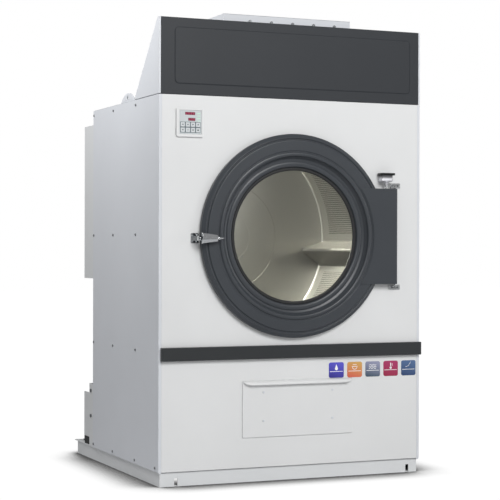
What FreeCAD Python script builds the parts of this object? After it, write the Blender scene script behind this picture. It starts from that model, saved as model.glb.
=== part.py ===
import math
import os

from FreeCAD import Vector
import Part

# Commercial tumble dryer, millimetres, +Z up, front towards -Y.
# Pieces are drawn with y = 0 on the front panel's face, and save() moves them so
# that the origin is at the middle of the footprint, on the floor.

# Cabinet
CABINET_WIDTH = 1360.0
CABINET_DEPTH = 1000.0
SHEET = 2.0
CORNER_RETURN = 14.0
SIDE_BOTTOM = 68.0
ROOF_HEIGHT = 1801.0
BAND_BOTTOM = 577.0
BAND_TOP = 639.0
BAND_PROUD = 22.0
FASCIA_TOP = 2156.0
FASCIA_HALF = 671.0
HEATER_TOP = 2200.0
HALF = CABINET_WIDTH / 2

# Base
BASE_HEIGHT = 66.0
BASE_HALF = HALF - 10
BASE_FRONT = 10.0
BASE_REAR = 1296.0
BASE_SLOTS = (-590.0, 618.0)
SLOT_WIDTH = 16.0
SLOT_HEIGHT = 38.0
DECK_REAR = 1330.0
ANCHOR_X = 648.0
ANCHOR_FRONT = 80.0
ANCHOR_REAR = 1226.0
ANCHOR_RADIUS = 7.0
STUD_X = 640.0
STUD_Y = 1254.0
STUD_HOLE = 6.2

# Door
DOOR_HEIGHT = 1155.0
DOOR_RADIUS = 482.0
DOOR_FACE = -38.0
MOUTH_RADIUS = 362.0
MOUTH_DEPTH = 40.0
COLLAR_ARCS = 8
GLASS_RADIUS = 325.0
GLASS_SIGHT = 310.0
HINGE_X = 527.0
HINGE_Y = -30.0
HINGE_HALF = 231.0
PIN_RADIUS = 5.0
RUNNING = 0.05

# Latch
LATCH_X = -447.0
LATCH_HEIGHT = 1142.0
LATCH_REACH = 84.0
GRIP_LEFT = -494.0
GRIP_RIGHT = -413.0
GRIP_BACK = -61.0
TIP_LENGTH = 27.0
TIP_BASE = 9.0
TIP_END = 3.0
KEEPER_PLATE_LEFT = -524.0
KEEPER_PLATE_HALF = 24.0

# Drum
DRUM_RADIUS = 565.0
DRUM_FRONT = 66.0
DRUM_REAR = 850.0
HUB_PLATE_RADIUS = 279.0
LIFTER_COUNT = 4
LIFTER_ANGLE = -8.7
SHAFT_RADIUS = 30.0
JACKET_RADIUS = 595.0

# Drive: belt pitch radii and shaft places
DRUM_PITCH = 200.0
JACK_SMALL_PITCH = 40.0
JACK_LARGE_PITCH = 168.0
MOTOR_PITCH = 35.0
JACK_HEIGHT = 1530.0
MOTOR_X = 500.0
MOTOR_HEIGHT = 1650.0
DRUM_BELTS_Y = 1032.0
MOTOR_BELTS_Y = 1092.0
BELT_PITCH = 16.0
BELT_WIDTH = 12.0
BELT_DEPTH = 8.0
BELT_GAP = 0.5

# Exhaust fan
FAN_X = -200.0
FAN_HEIGHT = 300.0
FAN_RADIUS = 185.0
SPIGOT_X = 270.0
SPIGOT_HEIGHT = 207.0
SPIGOT_RADIUS = 90.0
SPIGOT_LENGTH = 80.0

# Lint drawer
DRAWER_LEFT = -264.0
DRAWER_RIGHT = 310.0
DRAWER_BOTTOM = 209.0
DRAWER_TOP = 474.0
TRAY_BACK = 480.0

# Controls
PANEL_LEFT = -598.0
PANEL_RIGHT = -466.0
PANEL_BOTTOM = 1607.0
PANEL_TOP = 1739.0
CONTROL_CUTOUT = 100.0
KEY_FIRST_X = -567.0
KEY_PITCH_X = 25.0
KEY_ROWS = (1664.5, 1639.5)
KEY_SIZE = 20.5

# Screws: (y, z) on the sides and (x, z) on the drawer's front
SIDE_SCREWS = [(y, z) for z in (1777.0, 1160.0, 611.0) for y in (985.0, 668.0, 325.0)]
SIDE_SCREWS += [(y, 85.0) for y in (985.0, 670.0, 333.0, 45.0)]
DRAWER_SCREWS = [(x, z) for x in (-157.0, 203.0) for z in (420.0, 286.0)]

FRONT_SHIFT = -(DECK_REAR - LATCH_REACH) / 2

X_AXIS = Vector(1, 0, 0)
Y_AXIS = Vector(0, 1, 0)
Z_AXIS = Vector(0, 0, 1)


def block(x0, x1, y0, y1, z0, z1):
    return Part.makeBox(x1 - x0, y1 - y0, z1 - z0, Vector(x0, y0, z0))


def rod(axis, x, y, z, radius, length):
    return Part.makeCylinder(radius, length, Vector(x, y, z), axis)


def ring(axis, x, y, z, outer, inner, length):
    return rod(axis, x, y, z, outer, length).cut(rod(axis, x, y, z, inner, length))


def prism(points, direction):
    """A closed polygon of 3-D points pushed along a vector."""
    wire = Part.makePolygon([Vector(*p) for p in points] + [Vector(*points[0])])
    return Part.Face(wire).extrude(direction)


def front_plate(points, y0, y1):
    return prism([(x, y0, z) for x, z in points], Vector(0, y1 - y0, 0))


def side_plate(points, x0, x1):
    return prism([(x0, y, z) for y, z in points], Vector(x1 - x0, 0, 0))


def soften(shape, radius, axis):
    """Rounds the edges that run along an axis."""
    chosen = []
    for edge in shape.Edges:
        if edge.Curve.TypeId == "Part::GeomLine" and abs(edge.tangentAt(0).dot(axis)) > 0.999:
            chosen.append(edge)
    return shape.makeFillet(radius, chosen)


def tube_bar(x0, x1, y0, y1, z0, z1, axis, wall=3.0):
    """A rectangular hollow section, open at its ends along the axis."""
    w = Vector(wall, wall, wall)
    w = w - axis * wall
    inner = block(x0 + w.x, x1 - w.x, y0 + w.y, y1 - w.y, z0 + w.z, z1 - w.z)
    return block(x0, x1, y0, y1, z0, z1).cut(inner)


def both_sides(shape):
    return [shape, shape.mirror(Vector(0, 0, 0), X_AXIS)]


def union(shapes):
    first = shapes[0]
    return first.multiFuse(shapes[1:]).removeSplitter()


def turned(shape, x, z, degrees):
    """A copy turned about an axis along Y."""
    copy = shape.copy()
    copy.rotate(Vector(x, 0, z), Y_AXIS, degrees)
    return copy


def save(name, shapes):
    if not isinstance(shapes, list):
        shapes = [shapes]
    solids = []
    for shape in shapes:
        solids += shape.Solids
    result = solids[0] if len(solids) == 1 else Part.makeCompound(solids)
    result.translate(Vector(0, FRONT_SHIFT, 0))
    if not result.isValid():
        print("not valid:", name)
    result.exportStep("parts/" + name + ".step")
    print(name, len(solids), "solids", round(result.Volume / 1e6, 3), "litres")


# Base and frame


def base_frame():
    """Steel channels round the foot, two cross members and the rear deck."""
    web = 5.0
    flange = 40.0
    rear_web = BASE_REAR - web

    def side_channel():
        x0 = -BASE_HALF
        bar = block(x0, x0 + flange, BASE_FRONT, BASE_REAR, 0, BASE_HEIGHT)
        bar = bar.cut(block(x0 + web, x0 + flange, BASE_FRONT + web, rear_web, web, BASE_HEIGHT - web))
        for y in (ANCHOR_FRONT, ANCHOR_REAR):
            bar = bar.cut(rod(Z_AXIS, -ANCHOR_X, y, 0, ANCHOR_RADIUS, web))
        return bar.cut(rod(Z_AXIS, -STUD_X, STUD_Y, BASE_HEIGHT - web, STUD_HOLE, web))

    def end_channel(y0, y1, web_y0):
        inner = BASE_HALF - flange
        bar = block(-inner, inner, y0, y1, 0, BASE_HEIGHT)
        hollow_y0 = y0 + web if web_y0 == y0 else y0
        hollow_y1 = y1 if web_y0 == y0 else y1 - web
        return bar.cut(block(-inner, inner, hollow_y0, hollow_y1, web, BASE_HEIGHT - web))

    front = end_channel(BASE_FRONT, BASE_FRONT + flange, BASE_FRONT)
    for x in BASE_SLOTS:
        half = SLOT_WIDTH / 2
        front = front.cut(block(x - half, x + half, BASE_FRONT, BASE_FRONT + web, 0, SLOT_HEIGHT))
    rear = end_channel(BASE_REAR - flange, BASE_REAR, rear_web)
    pieces = both_sides(side_channel())
    pieces += [front, rear]
    for y in (430.0, 1000.0):
        inner = BASE_HALF - flange
        pieces.append(tube_bar(-inner, inner, y - 20, y + 20, 10, BASE_HEIGHT, X_AXIS))
    deck = block(-676, 676, CABINET_DEPTH + 4, DECK_REAR, BASE_HEIGHT, BASE_HEIGHT + 4)
    for x in (-STUD_X, STUD_X):
        deck = deck.cut(rod(Z_AXIS, x, STUD_Y, BASE_HEIGHT, STUD_HOLE, 4))
    pieces.append(deck)
    return pieces


def inner_frame():
    """Posts, rails and cross members that carry the panels, drum and drawer."""
    outer = HALF - 4
    inner = outer - 40
    top = ROOF_HEIGHT - 4
    pieces = []
    for y in (4.0, 956.0):
        pieces += both_sides(tube_bar(-outer, -inner, y, y + 40, BASE_HEIGHT, top, Z_AXIS))
    for y in (4.0, 956.0):
        pieces.append(tube_bar(-inner, inner, y, y + 25, top - 25, top, X_AXIS, 2.0))
    for z in (DOOR_HEIGHT - 105, DOOR_HEIGHT + 65, JACK_HEIGHT - 70, JACK_HEIGHT + 30):
        pieces.append(tube_bar(-inner, inner, 956, 996, z, z + 40, X_AXIS))
    for x in (DRAWER_LEFT + 6, DRAWER_RIGHT - 20):
        pieces.append(block(x, x + 14, 44, 690, 214, 222))
    pieces.append(block(-inner, inner, 650, 690, 190, 214))
    pieces.append(block(-inner, inner, 44, 60, 190, 214))
    return pieces


# Panels


def side_panels():
    """Folded sheet sides with narrow returns at the front, back, top and bottom."""
    x0 = -HALF
    wall = block(x0, x0 + SHEET, 0, CABINET_DEPTH, SIDE_BOTTOM, ROOF_HEIGHT)
    front = block(x0, x0 + CORNER_RETURN, 0, SHEET, SIDE_BOTTOM - 6, ROOF_HEIGHT)
    rear = block(x0, x0 + 30, CABINET_DEPTH - SHEET, CABINET_DEPTH, SIDE_BOTTOM, ROOF_HEIGHT)
    top = block(x0, x0 + 30, SHEET + 0.2, CABINET_DEPTH, ROOF_HEIGHT - SHEET, ROOF_HEIGHT)
    bottom = block(x0, x0 + 4, 3, CABINET_DEPTH, SIDE_BOTTOM, SIDE_BOTTOM + SHEET)
    panel = union([wall, front, rear, top, bottom])
    for y, z in SIDE_SCREWS:
        panel = panel.cut(rod(X_AXIS, x0, y, z, 2.8, SHEET))
    return both_sides(panel)


def front_panel():
    """Upper front sheet with its round mouth and its control cut-out."""
    edge = HALF - CORNER_RETURN - 0.5
    sheet = block(-edge, edge, 0, SHEET, BAND_TOP + 0.3, ROOF_HEIGHT)
    sheet = sheet.cut(rod(Y_AXIS, 0, 0, DOOR_HEIGHT, MOUTH_RADIUS + SHEET, SHEET))
    middle_x = (PANEL_LEFT + PANEL_RIGHT) / 2
    middle_z = (PANEL_BOTTOM + PANEL_TOP) / 2
    half = CONTROL_CUTOUT / 2
    hole = block(middle_x - half, middle_x + half, 0, SHEET, middle_z - half, middle_z + half)
    return sheet.cut(hole)


def mouth_collar():
    """Rolled collar welded in the mouth, drawn as equal arcs that meet end to end."""
    whole = ring(Y_AXIS, 0, 0, DOOR_HEIGHT, MOUTH_RADIUS + SHEET, MOUTH_RADIUS, MOUTH_DEPTH)
    sweep = 360.0 / COLLAR_ARCS
    reach = 2 * MOUTH_RADIUS
    wedge_points = [(0, DOOR_HEIGHT), (reach, DOOR_HEIGHT)]
    wedge_points.append(
        (reach * math.cos(math.radians(sweep)), DOOR_HEIGHT + reach * math.sin(math.radians(sweep)))
    )
    first = whole.common(front_plate(wedge_points, 0, MOUTH_DEPTH))
    return [turned(first, 0, DOOR_HEIGHT, sweep * index) for index in range(COLLAR_ARCS)]


def lower_front_panel():
    """Lower front sheet round the drawer opening, drawn as four strips that meet edge to edge."""
    edge = HALF - CORNER_RETURN - 0.5
    left = DRAWER_LEFT + 8
    right = DRAWER_RIGHT - 8
    bottom = DRAWER_BOTTOM + 9
    top = DRAWER_TOP - 6
    return [
        block(-edge, edge, 0, SHEET, SIDE_BOTTOM, bottom),
        block(-edge, edge, 0, SHEET, top, BAND_BOTTOM - 0.3),
        block(-edge, left, 0, SHEET, bottom, top),
        block(right, edge, 0, SHEET, bottom, top),
    ]


def trim_band():
    """Dark channel strip across the front, between the two front sheets."""
    shape = block(-HALF + 10, HALF, -BAND_PROUD, 0, BAND_BOTTOM, BAND_TOP)
    shape = shape.cut(block(-HALF + 12, HALF - 2, -BAND_PROUD + 2, 0, BAND_BOTTOM + 2, BAND_TOP - 2))
    return shape


def fascia_panel():
    """Dark head panel: a folded pan with a raised rectangle pressed in its face."""
    pan = block(-FASCIA_HALF, FASCIA_HALF, -SHEET, 28, ROOF_HEIGHT + 1, FASCIA_TOP)
    inside = FASCIA_HALF - SHEET
    pan = pan.cut(block(-inside, inside, 0, 28, ROOF_HEIGHT + 3, FASCIA_TOP - SHEET))
    raised = block(-600, 616, -5, -SHEET, 1857, 2108)
    raised = soften(raised, 14, Y_AXIS)
    return union([pan, raised])


def hood_cheeks():
    """Triangular side plates that hold the head panel upright on the roof."""
    bottom = ROOF_HEIGHT + 3.5
    outline = [(0, bottom), (348, bottom), (22, FASCIA_TOP), (0, FASCIA_TOP)]
    plate = side_plate(outline, -HALF, -HALF + SHEET)
    front = block(-HALF, -FASCIA_HALF - 0.4, 0, SHEET, bottom, FASCIA_TOP)
    foot = block(-HALF, -HALF + 24, 30, 345, bottom, bottom + SHEET)
    slope = [(348, bottom), (22, FASCIA_TOP), (20, FASCIA_TOP), (346, bottom)]
    flange = side_plate(slope, -HALF, -HALF + 20).cut(
        block(-FASCIA_HALF - 1, -HALF + 20, 0, 29, ROOF_HEIGHT, FASCIA_TOP)
    )
    return both_sides(union([plate, front, foot, flange]))


def roof_panel():
    """Flat top sheet with the rectangular inlet below the heater box."""
    edge = HALF - 4
    sheet = block(-edge, edge, 29, CABINET_DEPTH - 2, ROOF_HEIGHT, ROOF_HEIGHT + SHEET)
    return sheet.cut(block(-240, 240, 180, 640, ROOF_HEIGHT, ROOF_HEIGHT + SHEET))


def rear_panel():
    """Back sheet with holes for the shafts, the exhaust and the cable gland."""
    edge = HALF - 30.5
    y0 = CABINET_DEPTH - SHEET
    sheet = block(-edge, edge, y0, CABINET_DEPTH, SIDE_BOTTOM + 2, ROOF_HEIGHT - 3)
    holes = [
        (0, DOOR_HEIGHT, 62),
        (0, JACK_HEIGHT, 44),
        (MOTOR_X, MOTOR_HEIGHT, 30),
        (FAN_X, FAN_HEIGHT, 30),
        (SPIGOT_X, SPIGOT_HEIGHT, SPIGOT_RADIUS + 1),
        (560, 800, 12.5),
    ]
    for x, z, radius in holes:
        sheet = sheet.cut(rod(Y_AXIS, x, y0, z, radius, SHEET))
    return sheet


def lifting_lugs():
    """Half-round lifting plates that stand on the roof's edges."""
    chord = 205.0
    height = 43.0
    radius = (chord * chord / 4 + height * height) / (2 * height)
    middle = 462.0
    base = ROOF_HEIGHT + SHEET
    disc = rod(X_AXIS, -HALF + 5, middle, base + height - radius, radius, 6)
    plate = disc.common(block(-HALF, -HALF + 20, middle - 150, middle + 150, base, base + 60))
    foot = block(-HALF + 11, -HALF + 36, middle - 70, middle + 70, base, base + 6)
    lug = union([plate, foot])
    lug = lug.cut(rod(X_AXIS, -HALF, middle, base + 20, 10, 40))
    return both_sides(lug)


# Heater


def heater_box():
    """Sheet box on the roof that draws in air through slots in its back."""
    half = 332.0
    y0 = 75.0
    y1 = 700.0
    z0 = ROOF_HEIGHT + SHEET
    top = block(-half, half, y0, y1, HEATER_TOP - SHEET, HEATER_TOP)
    front = block(-half, half, y0, y0 + SHEET, z0, HEATER_TOP - SHEET)
    side = block(-half, -half + SHEET, y0 + SHEET, y1 - SHEET, z0, HEATER_TOP - SHEET)
    back = block(-half, half, y1 - SHEET, y1, z0, HEATER_TOP - SHEET)
    for row in range(9):
        z = z0 + 60 + row * 34
        for x in (-290.0, 20.0):
            back = back.cut(block(x, x + 270, y1 - SHEET, y1, z, z + 14))
    flange = block(-half - 25, -half, y0, y1, z0, z0 + SHEET)
    rear_flange = block(-half - 25, half + 25, y1, y1 + 25, z0, z0 + SHEET)
    return [top, front, back, rear_flange] + both_sides(side) + both_sides(flange)


def heater_coil():
    """Six straight tubes through a stack of fins, joined by two headers."""
    tubes = []
    for row in range(2):
        for column in range(3):
            y = 300 + column * 120
            z = 1900 + row * 130
            tubes.append(rod(X_AXIS, -290, y, z, 12, 580))
    headers = []
    for x in (-300.0, 280.0):
        headers.append(block(x, x + 20, 270, 570, 1870, 2060))
    fins = []
    for index in range(22):
        x = -262 + index * 25
        fins.append(block(x - 0.8, x + 0.8, 262, 578, 1862, 2068))
    feet = [block(x, x + 14, 300, 540, ROOF_HEIGHT + SHEET, 1870) for x in (-297.0, 283.0)]
    return union(tubes + headers + fins + feet)


# Fasteners


def cabinet_fasteners():
    """Every screw and bolt head that stays on the cabinet."""
    return panel_screws() + hex_bolts()


def panel_screws():
    """Pan-head screws: the sides' rows and the hinge brackets' pairs."""
    pieces = []
    for y, z in SIDE_SCREWS:
        head = soft_head(6.2, 3.2)
        head.rotate(Vector(0, 0, 0), Z_AXIS, 90)
        head.translate(Vector(-HALF, y, z))
        pieces += both_sides(head)
    for z in (DOOR_HEIGHT + HINGE_HALF + 16, DOOR_HEIGHT - HINGE_HALF - 16):
        for x in (HINGE_X - 2, HINGE_X + 28):
            head = soft_head(5.0, 2.6)
            head.rotate(Vector(0, 0, 0), Z_AXIS, 180)
            head.translate(Vector(x, -3, z))
            pieces.append(head)
    return pieces


def soft_head(radius, height):
    """A pan head that points along +Y, with its shank behind."""
    head = rod(Y_AXIS, 0, 0, 0, radius, height)
    head = head.makeFillet(height * 0.45, [head.Edges[0]])
    slot = block(-radius * 0.6, radius * 0.6, height - 1, height + 1, -0.7, 0.7)
    shank = rod(Y_AXIS, 0, -2.6, 0, 2.4, 2.6)
    return union([head.cut(slot), shank])


def hex_head(size, height):
    """A hexagon of a given across-flats size, standing on z = 0."""
    points = []
    for index in range(6):
        angle = math.radians(60 * index + 30)
        reach = size / 2 / math.cos(math.radians(30))
        points.append((reach * math.cos(angle), reach * math.sin(angle), 0))
    return prism(points, Vector(0, 0, height))


def hex_bolts():
    """Hexagon bolts of the heater box, motor bracket, bearings and deck."""
    pieces = []
    for index in range(5):
        bolt = hex_head(13, 6)
        bolt.rotate(Vector(0, 0, 0), X_AXIS, 90)
        bolt.translate(Vector(-198 + index * 111, 75, 2170))
        pieces.append(bolt)
    for y in (140.0, 300.0, 460.0, 620.0):
        bolt = hex_head(13, 6)
        bolt.translate(Vector(-344.5, y, ROOF_HEIGHT + 2 * SHEET))
        pieces += both_sides(bolt)
    for z in (355.0, 225.0):
        bolt = hex_head(17, 5)
        bolt.rotate(Vector(0, 0, 0), Y_AXIS, -90)
        bolt.translate(Vector(-676, 1040, z))
        pieces.append(bolt)
    for x in (-95.0, 95.0):
        for z in (DOOR_HEIGHT - 85, DOOR_HEIGHT + 85):
            bolt = hex_head(19, 8)
            bolt.rotate(Vector(0, 0, 0), X_AXIS, 90)
            bolt.translate(Vector(x, 944, z))
            pieces.append(bolt)
    for x in (-STUD_X, STUD_X):
        stud = rod(Z_AXIS, x, STUD_Y, 50, 6, 58)
        nut = hex_head(19, 10)
        nut.translate(Vector(x, STUD_Y, BASE_HEIGHT + 4))
        pieces.append(union([stud, nut]))
    return pieces


# Controls


def key_places():
    places = []
    for z in KEY_ROWS:
        for column in range(4):
            places.append((KEY_FIRST_X + column * KEY_PITCH_X, z))
    return places


def control_bezel():
    """Square white frame with a shallow box behind it, through the front sheet."""
    frame = block(PANEL_LEFT, PANEL_RIGHT, -9, 0, PANEL_BOTTOM, PANEL_TOP)
    frame = soften(frame, 8, Y_AXIS)
    middle_x = (PANEL_LEFT + PANEL_RIGHT) / 2
    middle_z = (PANEL_BOTTOM + PANEL_TOP) / 2
    box = block(middle_x - 49, middle_x + 49, 0, 32, middle_z - 49, middle_z + 49)
    body = union([frame, box])
    body = body.cut(block(-582, -474, -9, -5, 1621, 1730))
    return body.cut(block(-579, -480, -5, 28, 1628, 1677))


def control_window():
    """Printed overlay with two display windows and eight key openings."""
    overlay = block(-581.5, -474.5, -7.5, -5, 1621.5, 1729.5)
    for x, z in key_places():
        half = KEY_SIZE / 2 + 0.4
        overlay = overlay.cut(block(x - half, x + half, -8, -4, z - half, z + half))
    return overlay


def control_key(x, z):
    """One square key cap on a stem, pressed towards +Y."""
    half = KEY_SIZE / 2
    cap = block(x - half, x + half, -10, -3, z - half, z + half)
    cap = soften(cap, 2.5, Y_AXIS)
    stem = rod(Y_AXIS, x, -3, z, 4, 14)
    return union([cap, stem])


def function_badges():
    """Five thin square pictogram plates under the trim band."""
    pieces = []
    for index in range(5):
        x = 226 + index * 98.3
        plate = block(x - 40, x + 40, -1, 0, 475.5, 549.5)
        pieces.append(soften(plate, 10, Y_AXIS))
    return pieces


# Door


def revolve_profile(edges):
    """Turns a closed wire of (radius, depth) edges about the door's axis."""
    face = Part.Face(Part.Wire(edges))
    solid = face.revolve(Vector(0, 0, 0), Y_AXIS, 360)
    solid.translate(Vector(0, 0, DOOR_HEIGHT))
    return solid


def line(a, b):
    return Part.LineSegment(Vector(a[0], a[1], 0), Vector(b[0], b[1], 0)).toShape()


def arc(a, middle, b):
    points = [Vector(p[0], p[1], 0) for p in (a, middle, b)]
    return Part.Arc(*points).toShape()


def polyline(points):
    return [line(a, b) for a, b in zip(points, points[1:])]


def door_ring():
    """Pressed ring: bevelled rim, flat face, two beads and a recess for the glass."""
    rim = [(DOOR_RADIUS, -6), (DOOR_RADIUS, -24), (461, DOOR_FACE), (406, DOOR_FACE)]
    rim += [(404, -35), (401, -35), (400, DOOR_FACE)]
    edges = polyline(rim)
    edges.append(arc((400, DOOR_FACE), (389, -47), (378, DOOR_FACE)))
    edges += polyline([(378, DOOR_FACE), (371, -16), (362, -14)])
    edges.append(arc((362, -14), (350, -23), (338, -12)))
    back = [(338, -12), (331, -10), (331, 4), (337, 4), (342, -6), (350, -16), (360, -8)]
    back += [(374, -11), (382, -33), (389, -41), (397, -31), (408, -32), (459, -33)]
    back += [(476, -21), (476, -6), (DOOR_RADIUS, -6)]
    edges += polyline(back)
    return revolve_profile(edges)


def hinge_plate():
    """Flat plate on the ring's face, with folded edges and a knuckle for the pin."""
    low = DOOR_HEIGHT - HINGE_HALF
    high = DOOR_HEIGHT + HINGE_HALF
    plate = block(300, HINGE_X, DOOR_FACE - 3, DOOR_FACE, low, high)
    plate = plate.cut(rod(Y_AXIS, 0, -60, DOOR_HEIGHT, 407, 60))
    folds = []
    for z in (low, high - 3):
        folds.append(block(438, HINGE_X - 4, DOOR_FACE, -10, z, z + 3))
    folds = [fold.cut(rod(Y_AXIS, 0, -60, DOOR_HEIGHT, DOOR_RADIUS + 0.5, 60)) for fold in folds]
    knuckle = rod(Z_AXIS, HINGE_X, HINGE_Y, low, 11, high - low)
    knuckle = knuckle.cut(block(500, 560, -60, DOOR_FACE - 3, low, high))
    body = union([plate, knuckle] + folds)
    return body.cut(rod(Z_AXIS, HINGE_X, HINGE_Y, low, PIN_RADIUS + RUNNING, high - low))


def hinge_brackets():
    """Two angle tabs on the front sheet that hold the ends of the pin."""
    pieces = []
    for side in (1, -1):
        near = DOOR_HEIGHT + side * (HINGE_HALF + 4)
        far = near + side * 24
        z0, z1 = sorted((near, far))
        leg = block(HINGE_X - 22, HINGE_X + 42, -3, 0, z0, z1)
        ear_z0, ear_z1 = sorted((near, near + side * 5))
        ear = block(HINGE_X - 11, HINGE_X + 11, HINGE_Y, -3, ear_z0, ear_z1)
        nose = rod(Z_AXIS, HINGE_X, HINGE_Y, ear_z0, 11, 5)
        tab = union([leg, ear, nose])
        tab = tab.cut(rod(Z_AXIS, HINGE_X, HINGE_Y, ear_z0, PIN_RADIUS, 5))
        for x in (HINGE_X - 2, HINGE_X + 28):
            z = DOOR_HEIGHT + side * (HINGE_HALF + 16)
            tab = tab.cut(rod(Y_AXIS, x, -3, z, 2.5, 3))
        pieces.append(tab)
    return pieces


def hinge_pin():
    low = DOOR_HEIGHT - HINGE_HALF - 13
    return rod(Z_AXIS, HINGE_X, HINGE_Y, low, PIN_RADIUS, 2 * HINGE_HALF + 26)


def door_glass():
    return rod(Y_AXIS, 0, -6, DOOR_HEIGHT, GLASS_RADIUS, 8)


def glass_gasket():
    """U-shaped rubber ring round the rim of the glass."""
    outline = [(GLASS_SIGHT, -9), (330.6, -9), (330.6, 5), (GLASS_SIGHT + 2, 5)]
    outline += [(GLASS_SIGHT + 2, 2), (GLASS_RADIUS, 2), (GLASS_RADIUS, -6)]
    outline += [(GLASS_SIGHT, -6), (GLASS_SIGHT, -9)]
    return revolve_profile(polyline(outline))


def glass_retainer():
    """Clamp ring behind the glass with eight screw heads."""
    clamp = ring(Y_AXIS, 0, 5, DOOR_HEIGHT, 344, 314, 4)
    heads = [clamp]
    for index in range(8):
        angle = math.radians(22.5 + 45 * index)
        x = 337 * math.cos(angle)
        z = DOOR_HEIGHT + 337 * math.sin(angle)
        heads.append(rod(Y_AXIS, x, 9, z, 5, 3))
    return union(heads)


def door_seal():
    """Rubber ring on the front sheet that the door closes against."""
    return ring(Y_AXIS, 0, -5.5, DOOR_HEIGHT, 394, 364, 5.5)


# Latch and switch


def latch_keeper():
    """Plate on the front sheet with a post and a shelf that the tongue drops on."""
    z = LATCH_HEIGHT
    half = KEEPER_PLATE_HALF
    plate = soften(block(KEEPER_PLATE_LEFT, -485, -3, 0, z - half, z + half), 4, Y_AXIS)
    post = block(-509, -503, -60, -3, z - 12, z + 10)
    shelf = block(-503, -488, -58, -3, z - 12, z - 7)
    return union([plate, post, shelf])


def latch_base():
    """Block on the ring's face with the pivot stud, and its two screws."""
    z = LATCH_HEIGHT
    block_body = soften(block(-458, -428, -45, DOOR_FACE, z - 19, z + 19), 5, Y_AXIS)
    stud = rod(Y_AXIS, LATCH_X, -62, z, PIN_RADIUS, 17)
    heads = [rod(Y_AXIS, LATCH_X + 6, -47, z + side * 13.5, 3.2, 2) for side in (1, -1)]
    return union([block_body, stud] + heads)


def latch_handle():
    """Cast grip that turns on the stud: a tongue behind it, a pointed tip to the right."""
    z = LATCH_HEIGHT
    hub = rod(Y_AXIS, LATCH_X, GRIP_BACK, z, 13, -48.6 - GRIP_BACK)
    tongue = block(-500, LATCH_X, -54.4, -48.6, z - 6, z + 6)
    wires = []
    for x, reach, depth, ridge in ((GRIP_LEFT, 27.0, LATCH_REACH, 8.0), (GRIP_RIGHT, 17.0, 79.0, 5.0)):
        shoulder = (depth - GRIP_BACK) / 2
        section = [(GRIP_BACK, -reach), (-shoulder, 3 - reach), (-depth, -ridge)]
        section += [(y, -height) for y, height in reversed(section)]
        corners = [Vector(x, y, z + height) for y, height in section]
        wires.append(Part.makePolygon(corners + [corners[0]]))
    grip = Part.makeLoft(wires, True, True)
    tip = Part.makeCone(TIP_BASE, TIP_END, TIP_LENGTH, Vector(GRIP_RIGHT - 1, -69, z), X_AXIS)
    point = Part.makeSphere(TIP_END, Vector(GRIP_RIGHT - 1 + TIP_LENGTH, -69, z))
    bore = rod(Y_AXIS, LATCH_X, -63, z, PIN_RADIUS + RUNNING, 20)
    return union([grip, hub, tongue, tip, point]).cut(bore)


def door_switch():
    """Switch above the hinge: capped body on a bracket, with a guide for the plunger."""
    x = HINGE_X - 50
    bracket = block(x - 26, x + 26, -3, 0, 1418, 1464)
    body = soften(block(x - 30, x + 30, -46, -3, 1420, 1451), 6, Z_AXIS)
    cap = soften(block(x - 34, x + 42, -50, -3, 1451, 1462), 7, Z_AXIS)
    neck = rod(Z_AXIS, x, -30, 1406, 9, 14)
    shape = union([bracket, body, cap, neck])
    return shape.cut(rod(Z_AXIS, x, -30, 1406, 4 + RUNNING, 36))


def switch_plunger():
    """Spring plunger whose foot stands just above the hinge plate."""
    x = HINGE_X - 50
    stem = rod(Z_AXIS, x, -30, 1391, 4, 42)
    foot = rod(Z_AXIS, x, -30, DOOR_HEIGHT + HINGE_HALF + 0.8, 6, 4.2)
    return union([stem, foot])


# Drum


def drum_shell():
    """Open cylinder with a rolled front rim, a back plate and a hub plate."""
    length = DRUM_REAR - DRUM_FRONT
    wall = ring(Y_AXIS, 0, DRUM_FRONT, DOOR_HEIGHT, DRUM_RADIUS + 2, DRUM_RADIUS, length)
    back = ring(Y_AXIS, 0, DRUM_REAR, DOOR_HEIGHT, DRUM_RADIUS + 2, 26, 3)
    hub = ring(Y_AXIS, 0, DRUM_REAR - 3, DOOR_HEIGHT, HUB_PLATE_RADIUS, 26, 3)
    front = ring(Y_AXIS, 0, DRUM_FRONT, DOOR_HEIGHT, DRUM_RADIUS + 2, 400, 3)
    lip = ring(Y_AXIS, 0, DRUM_FRONT, DOOR_HEIGHT, 403, 400, 14)
    return union([wall, back, hub, front, lip])


def drum_lifters():
    """Folded hollow ribs along the wall, from the front plate to the back plate."""
    half_base = 71.0
    height = 116.0
    gauge = 2.0
    front = DRUM_FRONT + 14
    rear = DRUM_REAR - 3
    root = math.sqrt(DRUM_RADIUS**2 - half_base**2) - 1

    def rib(inset):
        base = half_base - inset * 1.35
        tip = root - height + inset
        outline = [(root, -base), (tip, -8), (tip, 8), (root, base)]
        length = rear - front - 2 * inset
        body = prism([(x, front + inset, z) for x, z in outline], Vector(0, length, 0))
        ridge = []
        for edge in body.Edges:
            if edge.BoundBox.XMax < tip + 1 and edge.BoundBox.YLength > 300:
                ridge.append(edge)
        return body.makeFillet(7 - inset, ridge)

    inner = rib(gauge)
    opening = inner.copy()
    opening.translate(Vector(gauge + 1, 0, 0))
    shell = rib(0).cut(inner).cut(opening)
    shell.translate(Vector(0, 0, DOOR_HEIGHT))
    pieces = []
    for index in range(LIFTER_COUNT):
        pieces.append(turned(shell, 0, DOOR_HEIGHT, -(LIFTER_ANGLE + index * 360 / LIFTER_COUNT)))
    return pieces


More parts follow.
